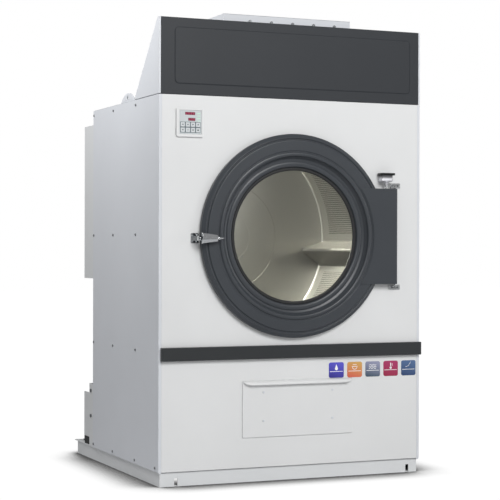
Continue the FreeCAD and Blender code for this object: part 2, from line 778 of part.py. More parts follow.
def drum_shaft():
    """Stepped shaft with the flange that is bolted to the drum's back."""
    flange = rod(Y_AXIS, 0, DRUM_REAR + 3, DOOR_HEIGHT, 135, 12)
    nose = rod(Y_AXIS, 0, DRUM_REAR - 8, DOOR_HEIGHT, 25.9, 12)
    journal = rod(Y_AXIS, 0, DRUM_REAR + 14, DOOR_HEIGHT, SHAFT_RADIUS, 152)
    end = rod(Y_AXIS, 0, 1015, DOOR_HEIGHT, 25, 90)
    return union([flange, nose, journal, end])


def pulley(x, z, y0, pitch, belts, bore):
    """A grooved wheel along Y; deep rims are turned hollow on one side."""
    width = BELT_PITCH * belts + 4
    outer = pitch + BELT_DEPTH / 2
    root = pitch - BELT_DEPTH / 2 - BELT_GAP
    groove_width = BELT_WIDTH + 2 * BELT_GAP
    wheel = rod(Y_AXIS, x, y0, z, outer, width)
    for index in range(belts):
        y = y0 + 2 + BELT_PITCH * index + (BELT_PITCH - BELT_WIDTH) / 2 - BELT_GAP
        wheel = wheel.cut(ring(Y_AXIS, x, y, z, outer + 5, root, groove_width))
    if pitch > 100:
        wheel = wheel.cut(ring(Y_AXIS, x, y0 + 14, z, pitch - 22, bore + 28, width))
        for index in range(5):
            angle = math.radians(72 * index)
            reach = (pitch - 22 + bore + 28) / 2
            hole_x = x + reach * math.cos(angle)
            hole_z = z + reach * math.sin(angle)
            wheel = wheel.cut(rod(Y_AXIS, hole_x, y0, hole_z, pitch * 0.17, 20))
    if bore:
        wheel = wheel.cut(rod(Y_AXIS, x, y0, z, bore, width))
    return wheel


def jackshaft():
    """Shaft with the large pulley that the motor drives and the small one to the drum."""
    shaft = rod(Y_AXIS, 0, 934, JACK_HEIGHT, 20, MOTOR_BELTS_Y + 44 - 934)
    small = pulley(0, JACK_HEIGHT, DRUM_BELTS_Y, JACK_SMALL_PITCH, 3, 19.9)
    large = pulley(0, JACK_HEIGHT, MOTOR_BELTS_Y, JACK_LARGE_PITCH, 2, 19.9)
    return union([shaft, small, large])


def motor_pulley():
    """Motor shaft with its small two-groove pulley."""
    shaft = rod(Y_AXIS, MOTOR_X, 850, MOTOR_HEIGHT, 14, MOTOR_BELTS_Y + 40 - 850)
    wheel = pulley(MOTOR_X, MOTOR_HEIGHT, MOTOR_BELTS_Y, MOTOR_PITCH, 2, 13.9)
    return union([shaft, wheel])


def loop_face(x1, z1, r1, x2, z2, r2, y):
    """The outline of a belt round two wheels, as a flat face."""
    distance = math.hypot(x2 - x1, z2 - z1)
    heading = math.atan2(z2 - z1, x2 - x1)
    lean = math.acos((r1 - r2) / distance)

    def at(x, z, r, angle):
        return Vector(x + r * math.cos(angle), y, z + r * math.sin(angle))

    a = at(x1, z1, r1, heading + lean)
    b = at(x1, z1, r1, heading - lean)
    c = at(x2, z2, r2, heading - lean)
    d = at(x2, z2, r2, heading + lean)
    edges = [
        Part.Arc(a, at(x1, z1, r1, heading + math.pi), b).toShape(),
        Part.LineSegment(b, c).toShape(),
        Part.Arc(c, at(x2, z2, r2, heading), d).toShape(),
        Part.LineSegment(d, a).toShape(),
    ]
    return Part.Face(Part.Wire(edges))


def v_belts():
    """Three belts from the jackshaft to the drum and two from the motor."""
    drum_stage = (0, DOOR_HEIGHT, DRUM_PITCH, 0, JACK_HEIGHT, JACK_SMALL_PITCH)
    motor_stage = (0, JACK_HEIGHT, JACK_LARGE_PITCH, MOTOR_X, MOTOR_HEIGHT, MOTOR_PITCH)
    pieces = []
    for stage, y0, count in ((drum_stage, DRUM_BELTS_Y, 3), (motor_stage, MOTOR_BELTS_Y, 2)):
        x1, z1, r1, x2, z2, r2 = stage
        for index in range(count):
            y = y0 + 2 + BELT_PITCH * index + (BELT_PITCH - BELT_WIDTH) / 2
            grow = BELT_DEPTH / 2
            outer = loop_face(x1, z1, r1 + grow, x2, z2, r2 + grow, y)
            inner = loop_face(x1, z1, r1 - grow, x2, z2, r2 - grow, y)
            depth = Vector(0, BELT_WIDTH, 0)
            pieces.append(outer.extrude(depth).cut(inner.extrude(depth)))
    return pieces


def drum_jacket():
    """Air jacket round the drum with a duct up to the heater and one down to the screen."""
    length = 872 - 42
    wall = ring(Y_AXIS, 0, 42, DOOR_HEIGHT, JACKET_RADIUS + SHEET, JACKET_RADIUS, length)
    front = ring(Y_AXIS, 0, 42, DOOR_HEIGHT, JACKET_RADIUS + SHEET, MOUTH_RADIUS, SHEET)
    back = ring(Y_AXIS, 0, 870, DOOR_HEIGHT, JACKET_RADIUS + SHEET, 60, SHEET)
    shell = union([wall, front, back])
    shell = shell.cut(block(-236, 236, 184, 636, DOOR_HEIGHT, ROOF_HEIGHT))
    shell = shell.cut(block(-236, 236, 84, 456, 400, DOOR_HEIGHT))
    upper = block(-238, 238, 182, 638, 1690, ROOF_HEIGHT - 2)
    upper = upper.cut(block(-236, 236, 184, 636, 1690, ROOF_HEIGHT - 2))
    lower = block(-238, 238, 82, 458, 484, 620)
    lower = lower.cut(block(-236, 236, 84, 456, 484, 620))
    core = rod(Y_AXIS, 0, 0, DOOR_HEIGHT, JACKET_RADIUS, 1000)
    return union([shell, upper.cut(core), lower.cut(core)])


def bearing_housings():
    """Drum and jackshaft bearing sleeves with their flanges and inserts."""
    pieces = []
    for z, shaft, outer, plate in ((DOOR_HEIGHT, SHAFT_RADIUS, 55, 115), (JACK_HEIGHT, 20, 26, 75)):
        start = 890 if shaft == SHAFT_RADIUS else 930
        sleeve = rod(Y_AXIS, 0, start, z, outer, 990 - start)
        flange = soften(block(-plate, plate, 944, 955.5, z - plate, z + plate), 12, Y_AXIS)
        body = union([sleeve, flange])
        bore = outer - 10 if shaft == SHAFT_RADIUS else shaft + 3
        pieces.append(body.cut(rod(Y_AXIS, 0, start, z, bore, 990 - start)))
        for y in (start + 2, 968):
            pieces.append(ring(Y_AXIS, 0, y, z, bore, shaft + RUNNING, 20))
    return pieces


def drive_motor():
    """Foot-mounted motor with a finned body, hung from the roof frame."""
    x = MOTOR_X
    z = MOTOR_HEIGHT
    body = rod(Y_AXIS, x, 640, z, 72, 250)
    fins = []
    for index in range(16):
        fin = block(x + 70, x + 80, 670, 850, z - 1.5, z + 1.5)
        fins.append(turned(fin, x, z, index * 22.5))
    bell = rod(Y_AXIS, x, 890, z, 50, 12)
    cowl = rod(Y_AXIS, x, 600, z, 78, 42)
    feet = block(x - 60, x + 60, 690, 830, z + 84, z + 92)
    legs = [block(x + s - 8, x + s + 8, 700, 820, z + 50, z + 90) for s in (-46, 46)]
    hanger = block(x - 70, x + 110, 690, 830, z + 92, ROOF_HEIGHT - 2)
    motor = union([body, bell, cowl, feet, hanger] + fins + legs)
    return motor.cut(rod(Y_AXIS, x, 845, z, 14 + RUNNING, 60))


def belt_guard():
    """Deep sheet cover over the pulleys on the back of the cabinet."""
    x1 = HALF - 4
    y0 = CABINET_DEPTH + 3
    y1 = 1162.0
    z0 = 938.0
    z1 = 1731.0
    back = block(-x1, x1, y1 - SHEET, y1, z0, z1)
    for row in range(6):
        z = z0 + 60 + row * 26
        for x in (-560.0, 340.0):
            back = back.cut(block(x, x + 220, y1 - SHEET, y1, z, z + 10))
    side = block(-x1, -x1 + SHEET, y0, y1 - SHEET, z0, z1)
    top = block(-x1 + SHEET, x1 - SHEET, y0, y1 - SHEET, z1 - SHEET, z1)
    bottom = block(-x1 + SHEET, x1 - SHEET, y0, y1 - SHEET, z0, z0 + SHEET)
    return [back, top, bottom] + both_sides(side)


# Exhaust


def fan_housing():
    """Scroll, its outlet duct and the round spigot through the back panel."""
    y0 = 700.0
    y1 = 850.0
    low = FAN_HEIGHT - FAN_RADIUS
    scroll = rod(Y_AXIS, FAN_X, y0, FAN_HEIGHT, FAN_RADIUS, y1 - y0)
    duct = block(FAN_X, 370, y0, y1, low, low + 184)
    outer = union([scroll, duct])
    inside = rod(Y_AXIS, FAN_X, y0 + 2, FAN_HEIGHT, FAN_RADIUS - 2, y1 - y0 - 4)
    inside = union([inside, block(FAN_X, 368, y0 + 2, y1 - 2, low + 2, low + 182)])
    shell = outer.cut(inside)
    shell = shell.cut(rod(Y_AXIS, FAN_X, y0, FAN_HEIGHT, 110, 2))
    shell = shell.cut(rod(Y_AXIS, FAN_X, y1 - 2, FAN_HEIGHT, 16, 2))
    shell = shell.cut(rod(Y_AXIS, SPIGOT_X, y1 - 2, SPIGOT_HEIGHT, SPIGOT_RADIUS - 4, 2))
    inner = SPIGOT_RADIUS - 4
    neck = ring(Y_AXIS, SPIGOT_X, y1, SPIGOT_HEIGHT, inner + 2, inner, CABINET_DEPTH - y1)
    collar = ring(Y_AXIS, SPIGOT_X, CABINET_DEPTH, SPIGOT_HEIGHT, SPIGOT_RADIUS, inner, SPIGOT_LENGTH)
    return [shell, union([neck, collar])]


def fan_impeller():
    """Back plate with curved blades, a front ring, and the motor's shaft."""
    plate = rod(Y_AXIS, FAN_X, 826, FAN_HEIGHT, 150, 3)
    front = ring(Y_AXIS, FAN_X, 730, FAN_HEIGHT, 150, 122, 3)
    blades = []
    for index in range(12):
        blade = block(FAN_X + 78, FAN_X + 149, 732, 827, FAN_HEIGHT - 1.5, FAN_HEIGHT + 1.5)
        blade.rotate(Vector(FAN_X + 110, 0, FAN_HEIGHT), Y_AXIS, 28)
        blades.append(turned(blade, FAN_X, FAN_HEIGHT, index * 30))
    hub = rod(Y_AXIS, FAN_X, 796, FAN_HEIGHT, 28, 32)
    shaft = rod(Y_AXIS, FAN_X, 790, FAN_HEIGHT, 12, 250)
    wheel = union([plate, front, hub, shaft] + blades)
    return wheel


def fan_motor():
    """Foot motor behind the back panel that drives the exhaust fan."""
    body = rod(Y_AXIS, FAN_X, 1030, FAN_HEIGHT, 68, 180)
    fins = []
    for index in range(14):
        fin = block(FAN_X + 66, FAN_X + 75, 1050, 1190, FAN_HEIGHT - 1.5, FAN_HEIGHT + 1.5)
        fins.append(turned(fin, FAN_X, FAN_HEIGHT, index * 360 / 14))
    nose = rod(Y_AXIS, FAN_X, 1014, FAN_HEIGHT, 36, 16)
    cowl = rod(Y_AXIS, FAN_X, 1206, FAN_HEIGHT, 72, 36)
    foot = block(FAN_X - 70, FAN_X + 70, 1060, 1180, FAN_HEIGHT - 89, FAN_HEIGHT - 60)
    motor = union([body, nose, cowl, foot] + fins)
    return motor.cut(rod(Y_AXIS, FAN_X, 1010, FAN_HEIGHT, 12 + RUNNING, 50))


def motor_bracket():
    """Channel, side plate and shelf that carry the fan motor on the rear deck."""
    deck = BASE_HEIGHT + 4
    channel = block(-676, -636, 1004, 1071, deck, 392)
    channel = channel.cut(block(-672, -636, 1008, 1067, deck, 392))
    plate = block(-672, -664, 1071, 1173, deck + 40, 341)
    shelf = block(-664, -120, 1071, 1180, 205, 211)
    leg = block(-140, -120, 1071, 1173, deck + 40, 205)
    return [channel, plate, shelf, leg]


def rubber_mounts():
    """Rubber blocks between the bracket and the deck."""
    deck = BASE_HEIGHT + 4
    return [
        block(-674, -634, 1086, 1160, deck, deck + 40),
        block(-160, -110, 1086, 1160, deck, deck + 40),
    ]


def supply_gland():
    """Screwed cable gland in the back panel."""
    collar = hex_head(34, 10)
    collar.rotate(Vector(0, 0, 0), X_AXIS, -90)
    collar.translate(Vector(560, CABINET_DEPTH, 800))
    barrel = rod(Y_AXIS, 560, CABINET_DEPTH - 12, 800, 12.4, 30)
    dome = rod(Y_AXIS, 560, CABINET_DEPTH + 10, 800, 15, 18)
    dome = dome.makeFillet(4, [dome.Edges[0]])
    body = union([collar, barrel, dome])
    return body.cut(rod(Y_AXIS, 560, CABINET_DEPTH - 12, 800, 8, 40))


# Lint drawer


def drawer_front():
    """Proud front sheet of the drawer with the lip that fingers pull."""
    face = block(DRAWER_LEFT, DRAWER_RIGHT, -6, -0.5, DRAWER_BOTTOM, DRAWER_TOP)
    face = soften(face, 3, Y_AXIS)
    hollow = block(DRAWER_LEFT + 2, DRAWER_RIGHT - 2, -4, -0.5, DRAWER_BOTTOM + 2, DRAWER_TOP - 2)
    face = face.cut(hollow)
    top = DRAWER_TOP
    section = [(-6, top), (-24, top - 16), (-24, top - 19), (-22, top - 19), (-6, top - 4)]
    lip = side_plate(section, DRAWER_LEFT + 4, DRAWER_RIGHT - 4)
    for side in (1, -1):
        x = DRAWER_LEFT + 4 if side == 1 else DRAWER_RIGHT - 4
        corner = [(x, top - 2), (x, top - 40), (x + side * 50, top - 40), (x + side * 44, top - 18)]
        lip = lip.cut(front_plate(corner, -40, -6))
    face = union([face, lip])
    for x, z in DRAWER_SCREWS:
        face = face.cut(rod(Y_AXIS, x, -10, z, 2.6, 8))
    return face


def drawer_screws():
    pieces = []
    for x, z in DRAWER_SCREWS:
        head = soft_head(5.5, 2.6)
        head.rotate(Vector(0, 0, 0), Z_AXIS, 180)
        head.translate(Vector(x, -6, z))
        pieces.append(head)
    return pieces


def drawer_tray():
    """Four walls behind the drawer's front, with flanges that run on the rails."""
    x0 = DRAWER_LEFT + 12
    x1 = DRAWER_RIGHT - 12
    z0 = 224.0
    z1 = DRAWER_TOP - 10
    front = block(x0, x1, -4, -2.2, z0, z1)
    for x, z in DRAWER_SCREWS:
        front = front.cut(rod(Y_AXIS, x, -5, z, 2.6, 4))
    back = block(x0, x1, TRAY_BACK - SHEET, TRAY_BACK, z0, z1)
    left = block(x0, x0 + SHEET, -2.2, TRAY_BACK - SHEET, z0, z1)
    right = block(x1 - SHEET, x1, -2.2, TRAY_BACK - SHEET, z0, z1)
    pieces = [front, back, left, right]
    for x in (x0 + SHEET, x1 - SHEET - 16):
        pieces.append(block(x, x + 16, 10, TRAY_BACK - SHEET, z0, z0 + SHEET))
    pieces.append(block(x0 + 18, x1 - 18, 10, 30, z0, z0 + SHEET))
    pieces.append(block(x0 + 18, x1 - 18, TRAY_BACK - 22, TRAY_BACK - SHEET, z0, z0 + SHEET))
    return pieces


def lint_screen():
    """Slotted plate on the tray's ledges, where the lint gathers."""
    x0 = DRAWER_LEFT + 16
    x1 = DRAWER_RIGHT - 16
    plate = block(x0, x1, 0, TRAY_BACK - 4, 226.3, 229.3)
    slots = []
    for column in range(12):
        for row in range(14):
            x = x0 + 24 + column * 42
            y = 36 + row * 30
            slots.append(block(x, x + 34, y, y + 12, 226, 230))
    return plate.cut(slots)


def main():
    os.makedirs("parts", exist_ok=True)
    pieces = [
        base_frame, inner_frame, side_panels, front_panel, mouth_collar, lower_front_panel, trim_band,
        fascia_panel, hood_cheeks, roof_panel, rear_panel, lifting_lugs, heater_box,
        heater_coil, cabinet_fasteners, control_bezel, control_window,
        function_badges, door_seal, hinge_brackets, hinge_pin, latch_keeper, door_switch,
        drum_jacket, bearing_housings, drive_motor, motor_bracket, rubber_mounts,
        belt_guard, v_belts, fan_housing, fan_motor, supply_gland, door_ring,
        hinge_plate, door_glass, glass_gasket, glass_retainer, latch_base, latch_handle,
        switch_plunger, drum_shell, drum_lifters, drum_shaft, jackshaft, motor_pulley,
        fan_impeller, drawer_front, drawer_tray, lint_screen, drawer_screws,
    ]
    for piece in pieces:
        save(piece.__name__, piece())
    save("drum_pulley", pulley(0, DOOR_HEIGHT, DRUM_BELTS_Y, DRUM_PITCH, 3, 25.0))
    for index, (x, z) in enumerate(key_places()):
        save("key_%d" % (index + 1), control_key(x, z))


main()
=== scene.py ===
import math

import bmesh
import bpy
from mathutils import Matrix, Vector


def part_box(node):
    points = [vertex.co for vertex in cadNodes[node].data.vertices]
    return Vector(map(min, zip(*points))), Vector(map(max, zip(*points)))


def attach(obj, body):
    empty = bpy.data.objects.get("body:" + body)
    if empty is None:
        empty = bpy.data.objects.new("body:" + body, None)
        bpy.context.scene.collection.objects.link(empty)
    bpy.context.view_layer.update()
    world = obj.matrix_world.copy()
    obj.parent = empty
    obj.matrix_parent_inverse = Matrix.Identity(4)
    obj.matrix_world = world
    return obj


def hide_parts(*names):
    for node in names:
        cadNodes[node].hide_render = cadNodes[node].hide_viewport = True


# A commercial tumble dryer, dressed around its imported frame. Metres, +Z up, front towards -Y.
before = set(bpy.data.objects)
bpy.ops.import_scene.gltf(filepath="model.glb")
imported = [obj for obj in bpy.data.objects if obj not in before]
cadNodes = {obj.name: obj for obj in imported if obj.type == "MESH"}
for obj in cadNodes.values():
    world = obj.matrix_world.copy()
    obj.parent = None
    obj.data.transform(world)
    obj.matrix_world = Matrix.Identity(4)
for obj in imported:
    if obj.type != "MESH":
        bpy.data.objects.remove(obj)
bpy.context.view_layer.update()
mm = 0.001
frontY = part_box("front_panel")[0].y  # the front sheet's outer face
floorZ = 0.0
print("frame loaded:", len(cadNodes), "nodes")


# Materials


def toLinear(hexColour):
    channels = []
    for start in (0, 2, 4):
        value = int(hexColour[start:start + 2], 16) / 255
        channels.append(value / 12.92 if value <= 0.04045 else ((value + 0.055) / 1.055) ** 2.4)
    return (*channels, 1.0)


def addNode(tree, kind, settings=None, links=None):
    node = tree.nodes.new(kind)
    for key, value in (settings or {}).items():
        if isinstance(key, int) or key in node.inputs:
            node.inputs[key].default_value = value
        else:
            setattr(node, key, value)
    for key, source in (links or {}).items():
        tree.links.new(source, node.inputs[key])
    return node


def startMaterial(name, colour, roughness, metallic=0.0, extra=None):
    material = bpy.data.materials.new(name)
    material.use_nodes = True
    tree = material.node_tree
    shader = tree.nodes["Principled BSDF"]
    values = {"Base Color": toLinear(colour), "Roughness": roughness, "Metallic": metallic}
    for key, value in {**values, **(extra or {})}.items():
        shader.inputs[key].default_value = value
    place = addNode(tree, "ShaderNodeTexCoord").outputs["Object"]
    return material, tree, shader, place


def surface(tree, shader, colour=None, finish=None, relief=None):
    # Lets patterns drive the skin: (pattern, dark, light), (pattern, low, high), (pattern, strength, height).
    if colour:
        mix = addNode(tree, "ShaderNodeMix", {"data_type": "RGBA"}, {0: colour[0]})
        mix.inputs[6].default_value = toLinear(colour[1])
        mix.inputs[7].default_value = toLinear(colour[2])
        tree.links.new(mix.outputs[2], shader.inputs["Base Color"])
    if finish:
        limits = {"To Min": finish[1], "To Max": finish[2]}
        span = addNode(tree, "ShaderNodeMapRange", limits, {"Value": finish[0]})
        tree.links.new(span.outputs[0], shader.inputs["Roughness"])
    if relief:
        bump = addNode(
            tree, "ShaderNodeBump", {"Strength": relief[1], "Distance": relief[2]}, {"Height": relief[0]}
        )
        tree.links.new(bump.outputs[0], shader.inputs["Normal"])


def powderCoat(name, dark, light, roughness, peelMm=3.0, peel=0.12, ior=1.5):
    # Powder-coated sheet steel, sprayed and baked: an even satin skin with faint orange peel.
    # The real peel is about 1.5 mm across; it is drawn at twice that so that it shows.
    material, tree, shader, place = startMaterial(name, light, roughness, 0, {"IOR": ior})
    cloud = addNode(tree, "ShaderNodeTexNoise", {"Scale": 3.0, "Detail": 3}, {"Vector": place})
    grain = addNode(tree, "ShaderNodeTexNoise", {"Scale": 1 / (peelMm * mm), "Detail": 2}, {"Vector": place})
    skin = grain.outputs[0]
    surface(
        tree, shader, (cloud.outputs[0], dark, light), (skin, roughness - 0.04, roughness + 0.05),
        (skin, peel, 0.3 * mm),
    )
    return material


def rolledSteel(name, dark, light, roughness, grainMm=2.0, stretch=(1, 12, 1)):
    # Cold-rolled sheet: fine parallel streaks from the rolls blur what it mirrors.
    material, tree, shader, place = startMaterial(name, light, roughness, 1.0)
    scale = [1 / (grainMm * mm * s) for s in stretch]
    mapping = addNode(tree, "ShaderNodeMapping", {"Scale": scale}, {"Vector": place})
    streak = addNode(tree, "ShaderNodeTexNoise", {"Scale": 1.0, "Detail": 3}, {"Vector": mapping.outputs[0]})
    cloud = addNode(tree, "ShaderNodeTexNoise", {"Scale": 4.0, "Detail": 2}, {"Vector": place})
    both = addNode(tree, "ShaderNodeMath", {"operation": "ADD"}, {0: streak.outputs[0], 1: cloud.outputs[0]})
    half = addNode(tree, "ShaderNodeMath", {"operation": "MULTIPLY", 1: 0.5}, {0: both.outputs[0]})
    rolled = streak.outputs[0]
    surface(
        tree, shader, (half.outputs[0], dark, light), (rolled, roughness - 0.07, roughness + 0.09),
        (rolled, 0.06, 0.1 * mm),
    )
    return material


def galvanisedSheet(name, spangleMm=14.0):
    # Hot-dip galvanised steel: zinc crystals of about 14 mm, each a little lighter or duller.
    material, tree, shader, place = startMaterial(name, "b4b8ba", 0.42, 1.0)
    cells = addNode(tree, "ShaderNodeTexVoronoi", {"Scale": 1 / (spangleMm * mm)}, {"Vector": place})
    tone = addNode(tree, "ShaderNodeSeparateColor", {}, {0: cells.outputs["Color"]})
    surface(
        tree, shader, (tone.outputs[0], "9da2a5", "bcc1c3"), (tone.outputs[1], 0.34, 0.52),
        (tone.outputs[2], 0.04, 0.1 * mm),
    )
    return material


def mouldedPlastic(name, dark, light, roughness, textureMm=0.8):
    # Injection-moulded ABS or nylon: spark-eroded texture, drawn coarse enough to show.
    material, tree, shader, place = startMaterial(name, light, roughness, 0, {"IOR": 1.53})
    scale = 1 / (textureMm * mm)
    grain = addNode(tree, "ShaderNodeTexNoise", {"Scale": scale, "Detail": 2}, {"Vector": place})
    skin = grain.outputs[0]
    surface(
        tree, shader, (skin, dark, light), (skin, roughness - 0.05, roughness + 0.05), (skin, 0.1, 0.05 * mm)
    )
    return material


def castIron(name, dark, light, roughness, grainMm=1.5, metallic=0.6):
    # Sand-cast iron, painted or bare: a pitted skin that scatters light.
    material, tree, shader, place = startMaterial(name, light, roughness, metallic)
    grain = addNode(tree, "ShaderNodeTexNoise", {"Scale": 1 / (grainMm * mm), "Detail": 4}, {"Vector": place})
    surface(tree, shader, (grain.outputs[0], dark, light), None, (grain.outputs[0], 0.3, 0.2 * mm))
    return material


def polishedMetal(name, dark, light, roughness, markMm=6.0):
    # Plated and buffed metal: almost a mirror, with faint hand marks that blur it here and there.
    material, tree, shader, place = startMaterial(name, light, roughness, 1.0)
    marks = addNode(tree, "ShaderNodeTexNoise", {"Scale": 1 / (markMm * mm), "Detail": 4}, {"Vector": place})
    surface(
        tree, shader, (marks.outputs[0], dark, light), (marks.outputs[0], roughness * 0.6, roughness * 1.6)
    )
    return material


def perforatedSteel(name, dark, light, look):
    # Stainless drum wall, rolled then punched: rows of fine holes between the lifters.
    # The real holes are 7 mm apart round the wall; they are drawn at look["rowMm"] so that they show.
    material, tree, shader, place = startMaterial(name, light, 0.34, 1.0)
    moved = addNode(tree, "ShaderNodeVectorMath", {"operation": "SUBTRACT", 1: look["centre"]}, {0: place})
    axes = addNode(tree, "ShaderNodeSeparateXYZ", {}, {0: moved.outputs[0]})
    angle = addNode(
        tree, "ShaderNodeMath", {"operation": "ARCTAN2"}, {0: axes.outputs[2], 1: axes.outputs[0]}
    )
    perRow = look["radius"] / (look["rowMm"] * mm)
    around = addNode(tree, "ShaderNodeMath", {"operation": "MULTIPLY", 1: perRow}, {0: angle.outputs[0]})
    perHole = 1 / (look["holeMm"] * mm)
    along = addNode(tree, "ShaderNodeMath", {"operation": "MULTIPLY", 1: perHole}, {0: axes.outputs[1]})
    flat = addNode(tree, "ShaderNodeCombineXYZ", {}, {0: around.outputs[0], 1: along.outputs[0]})
    grid = addNode(
        tree, "ShaderNodeTexVoronoi", {"voronoi_dimensions": "2D", "Scale": 1.0, "Randomness": 0.0},
        {"Vector": flat.outputs[0]},
    )
    hole = addNode(
        tree, "ShaderNodeMapRange",
        {
            "interpolation_type": "SMOOTHSTEP", "To Min": 1.0, "To Max": 0.0,
            "From Min": look["holeEdge"][0], "From Max": look["holeEdge"][1],
        },
        {"Value": grid.outputs["Distance"]},
    )
    quarter = math.tau / look["lifters"]
    masks = []
    for source, steps in (
        (angle.outputs[0], [
            ("SUBTRACT", look["firstLifter"]), ("WRAP", quarter), ("SUBTRACT", quarter / 2),
            ("ABSOLUTE", 0.0), ("LESS_THAN", quarter / 2 - look["margin"]),
        ]),
        (axes.outputs[1], [
            ("SUBTRACT", look["panelMiddle"]), ("ABSOLUTE", 0.0), ("LESS_THAN", look["panelHalf"]),
        ]),
    ):
        for operation, value in steps:
            step = addNode(tree, "ShaderNodeMath", {"operation": operation, 1: value, 2: 0.0}, {0: source})
            source = step.outputs[0]
        masks.append(source)
    holes = hole.outputs[0]
    for mask in masks:
        holes = addNode(tree, "ShaderNodeMath", {"operation": "MULTIPLY"}, {0: mask, 1: holes}).outputs[0]
    surface(tree, shader, (holes, light, dark), (holes, 0.34, 0.6), (holes, -0.4, 0.6 * mm))
    return material


def clearGlass(name):
    # Toughened float glass, fire-polished: you look straight through it, and it mirrors the room faintly.
    material, tree, shader, _ = startMaterial(name, "ffffff", 0.03, 0, {"IOR": 1.52})
    clear = addNode(tree, "ShaderNodeBsdfTransparent", {"Color": toLinear("f4f5f3")})
    gloss = addNode(tree, "ShaderNodeBsdfGlossy", {"Roughness": 0.03, "Color": toLinear("ffffff")})
    edge = addNode(tree, "ShaderNodeFresnel", {"IOR": 1.52})
    mix = addNode(
        tree, "ShaderNodeMixShader", {}, {0: edge.outputs[0], 1: clear.outputs[0], 2: gloss.outputs[0]}
    )
    tree.links.new(mix.outputs[0], tree.nodes["Material Output"].inputs["Surface"])
    tree.nodes.remove(shader)
    return material


badgeSlant = 0.25  # sideways share of the badge colours' run


def printedBadge(name, top, bottom, low, high):
    # Printed polyester under gloss lacquer: a colour that runs from top to bottom, mirror-smooth.
    lacquer = {"Coat Weight": 0.6, "Coat Roughness": 0.06}
    material, tree, shader, place = startMaterial(name, top, 0.16, 0, lacquer)
    axes = addNode(tree, "ShaderNodeSeparateXYZ", {}, {0: place})
    slant = addNode(
        tree, "ShaderNodeMath", {"operation": "MULTIPLY_ADD", 1: badgeSlant},
        {0: axes.outputs[0], 2: axes.outputs[2]},
    )
    limits = {"From Min": low, "From Max": high}
    fade = addNode(tree, "ShaderNodeMapRange", limits, {"Value": slant.outputs[0]})
    surface(tree, shader, (fade.outputs[0], bottom, top))
    return material


def glowingPlastic(name, colour, glow, strength):
    # Smoked acrylic over a lit segment: a saturated colour that glows a little by itself.
    material, tree, shader, place = startMaterial(
        name, colour, 0.2, 0, {"Emission Color": toLinear(glow), "Emission Strength": strength}
    )
    grain = addNode(tree, "ShaderNodeTexNoise", {"Scale": 900.0}, {"Vector": place})
    surface(tree, shader, None, (grain.outputs[0], 0.16, 0.26))
    return material


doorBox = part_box("door_ring")
doorCentre = (doorBox[0] + doorBox[1]) / 2
drum = {"radius": 565, "front": 66, "rear": 850, "lifters": 4, "firstLifter": math.radians(-8.7)}
drumLook = {
    "centre": (0.0, 0.0, doorCentre.z),
    "radius": drum["radius"] * mm,
    "rowMm": 11.0,
    "holeMm": 7.0,
    "holeEdge": (0.24, 0.34),
    "lifters": drum["lifters"],
    "firstLifter": drum["firstLifter"],
    "margin": math.radians(10.2),
    "panelMiddle": frontY + 0.445,
    "panelHalf": 0.325,
}

whitePaint = powderCoat("powderCoatedSteelWhite", "dedfdf", "e6e7e7", 0.36)
sidePaint = powderCoat("powderCoatedSteelPaleGrey", "d6d9de", "dee1e6", 0.42)
charcoalPaint = powderCoat("powderCoatedSteelCharcoal", "2d3034", "33363a", 0.5, 3.5, 0.14, 1.38)
bandPaint = powderCoat("stoveEnamelledSteelBlack", "242729", "2b2e30", 0.38, 3.0, 0.1)
doorEnamel = powderCoat("stoveEnamelledSteelSlate", "35393e", "3e4247", 0.34, 4.0, 0.1)
frameGreyPaint = powderCoat("primedSteelGrey", "83878b", "8f9397", 0.55, 2.5, 0.2)
basePaint = powderCoat("powderCoatedSteelLightGrey", "d9dbdc", "e1e3e4", 0.45)
galvanised = galvanisedSheet("galvanisedSteelSheet")
drumSteel = rolledSteel("rolledStainlessSteel", "a9a7a0", "bcbab3", 0.36, 1.6, (14, 1, 1))
drumWall = perforatedSteel("punchedStainlessSteel", "2e2f2c", "b8b6af", drumLook)
trimSteel = rolledSteel("brushedStainlessSteel", "b8babb", "cfd1d2", 0.28, 1.2, (12, 1, 1))
shaftSteel = rolledSteel("turnedCarbonSteel", "8e9092", "b2b4b6", 0.22, 0.8, (1, 10, 1))
zincPlate = rolledSteel("zincPlatedSteel", "6f7274", "8f9294", 0.35, 1.5, (1, 1, 1))
satinZinc = rolledSteel("satinZincDieCasting", "d3d4d8", "e6e6ea", 0.46, 3.0, (1, 1, 1))
chromePlate = polishedMetal("polishedChromePlate", "c9cccf", "eef0f1", 0.09)
pulleyIron = castIron("machinedCastIron", "3a3b3d", "55575a", 0.45)
motorIron = castIron("paintedCastIron", "2a3440", "3a4654", 0.5, 2.0, 0.0)
finAluminium = rolledSteel("pressedAluminium", "b9bcbf", "d6d9db", 0.3)
glassMaterial = clearGlass("toughenedFloatGlass")
blackRubber = mouldedPlastic("mouldedEpdmRubber", "0f1011", "1c1d1f", 0.62, 1.5)
beltRubber = mouldedPlastic("fabricFacedRubber", "0b0b0b", "191919", 0.8, 0.6)
whiteAbs = mouldedPlastic("mouldedAbsWhite", "dcdddd", "e6e7e7", 0.4)
keyAbs = mouldedPlastic("mouldedAbsPaleGrey", "ccd0d2", "d9dddf", 0.45)
overlayFilm = mouldedPlastic("printedPolyesterFilm", "c3c9cb", "ced4d6", 0.3, 2.0)
gridFilm = mouldedPlastic("printedPolyesterGrey", "5d6b70", "6c7a7f", 0.35, 2.0)
blackNylon = mouldedPlastic("mouldedNylonBlack", "17181a", "232527", 0.42, 0.9)
whiteInk = mouldedPlastic("screenPrintedInkWhite", "f4f5f6", "ffffff", 0.35, 1.0)
darkInk = mouldedPlastic("screenPrintedInkGrey", "3a4549", "46525a", 0.4, 1.0)
displayRed = glowingPlastic("smokedAcrylicRed", "6d2238", "8e2c46", 0.12)
segmentRed = glowingPlastic("litSegmentRed", "b04a62", "d4647c", 0.35)
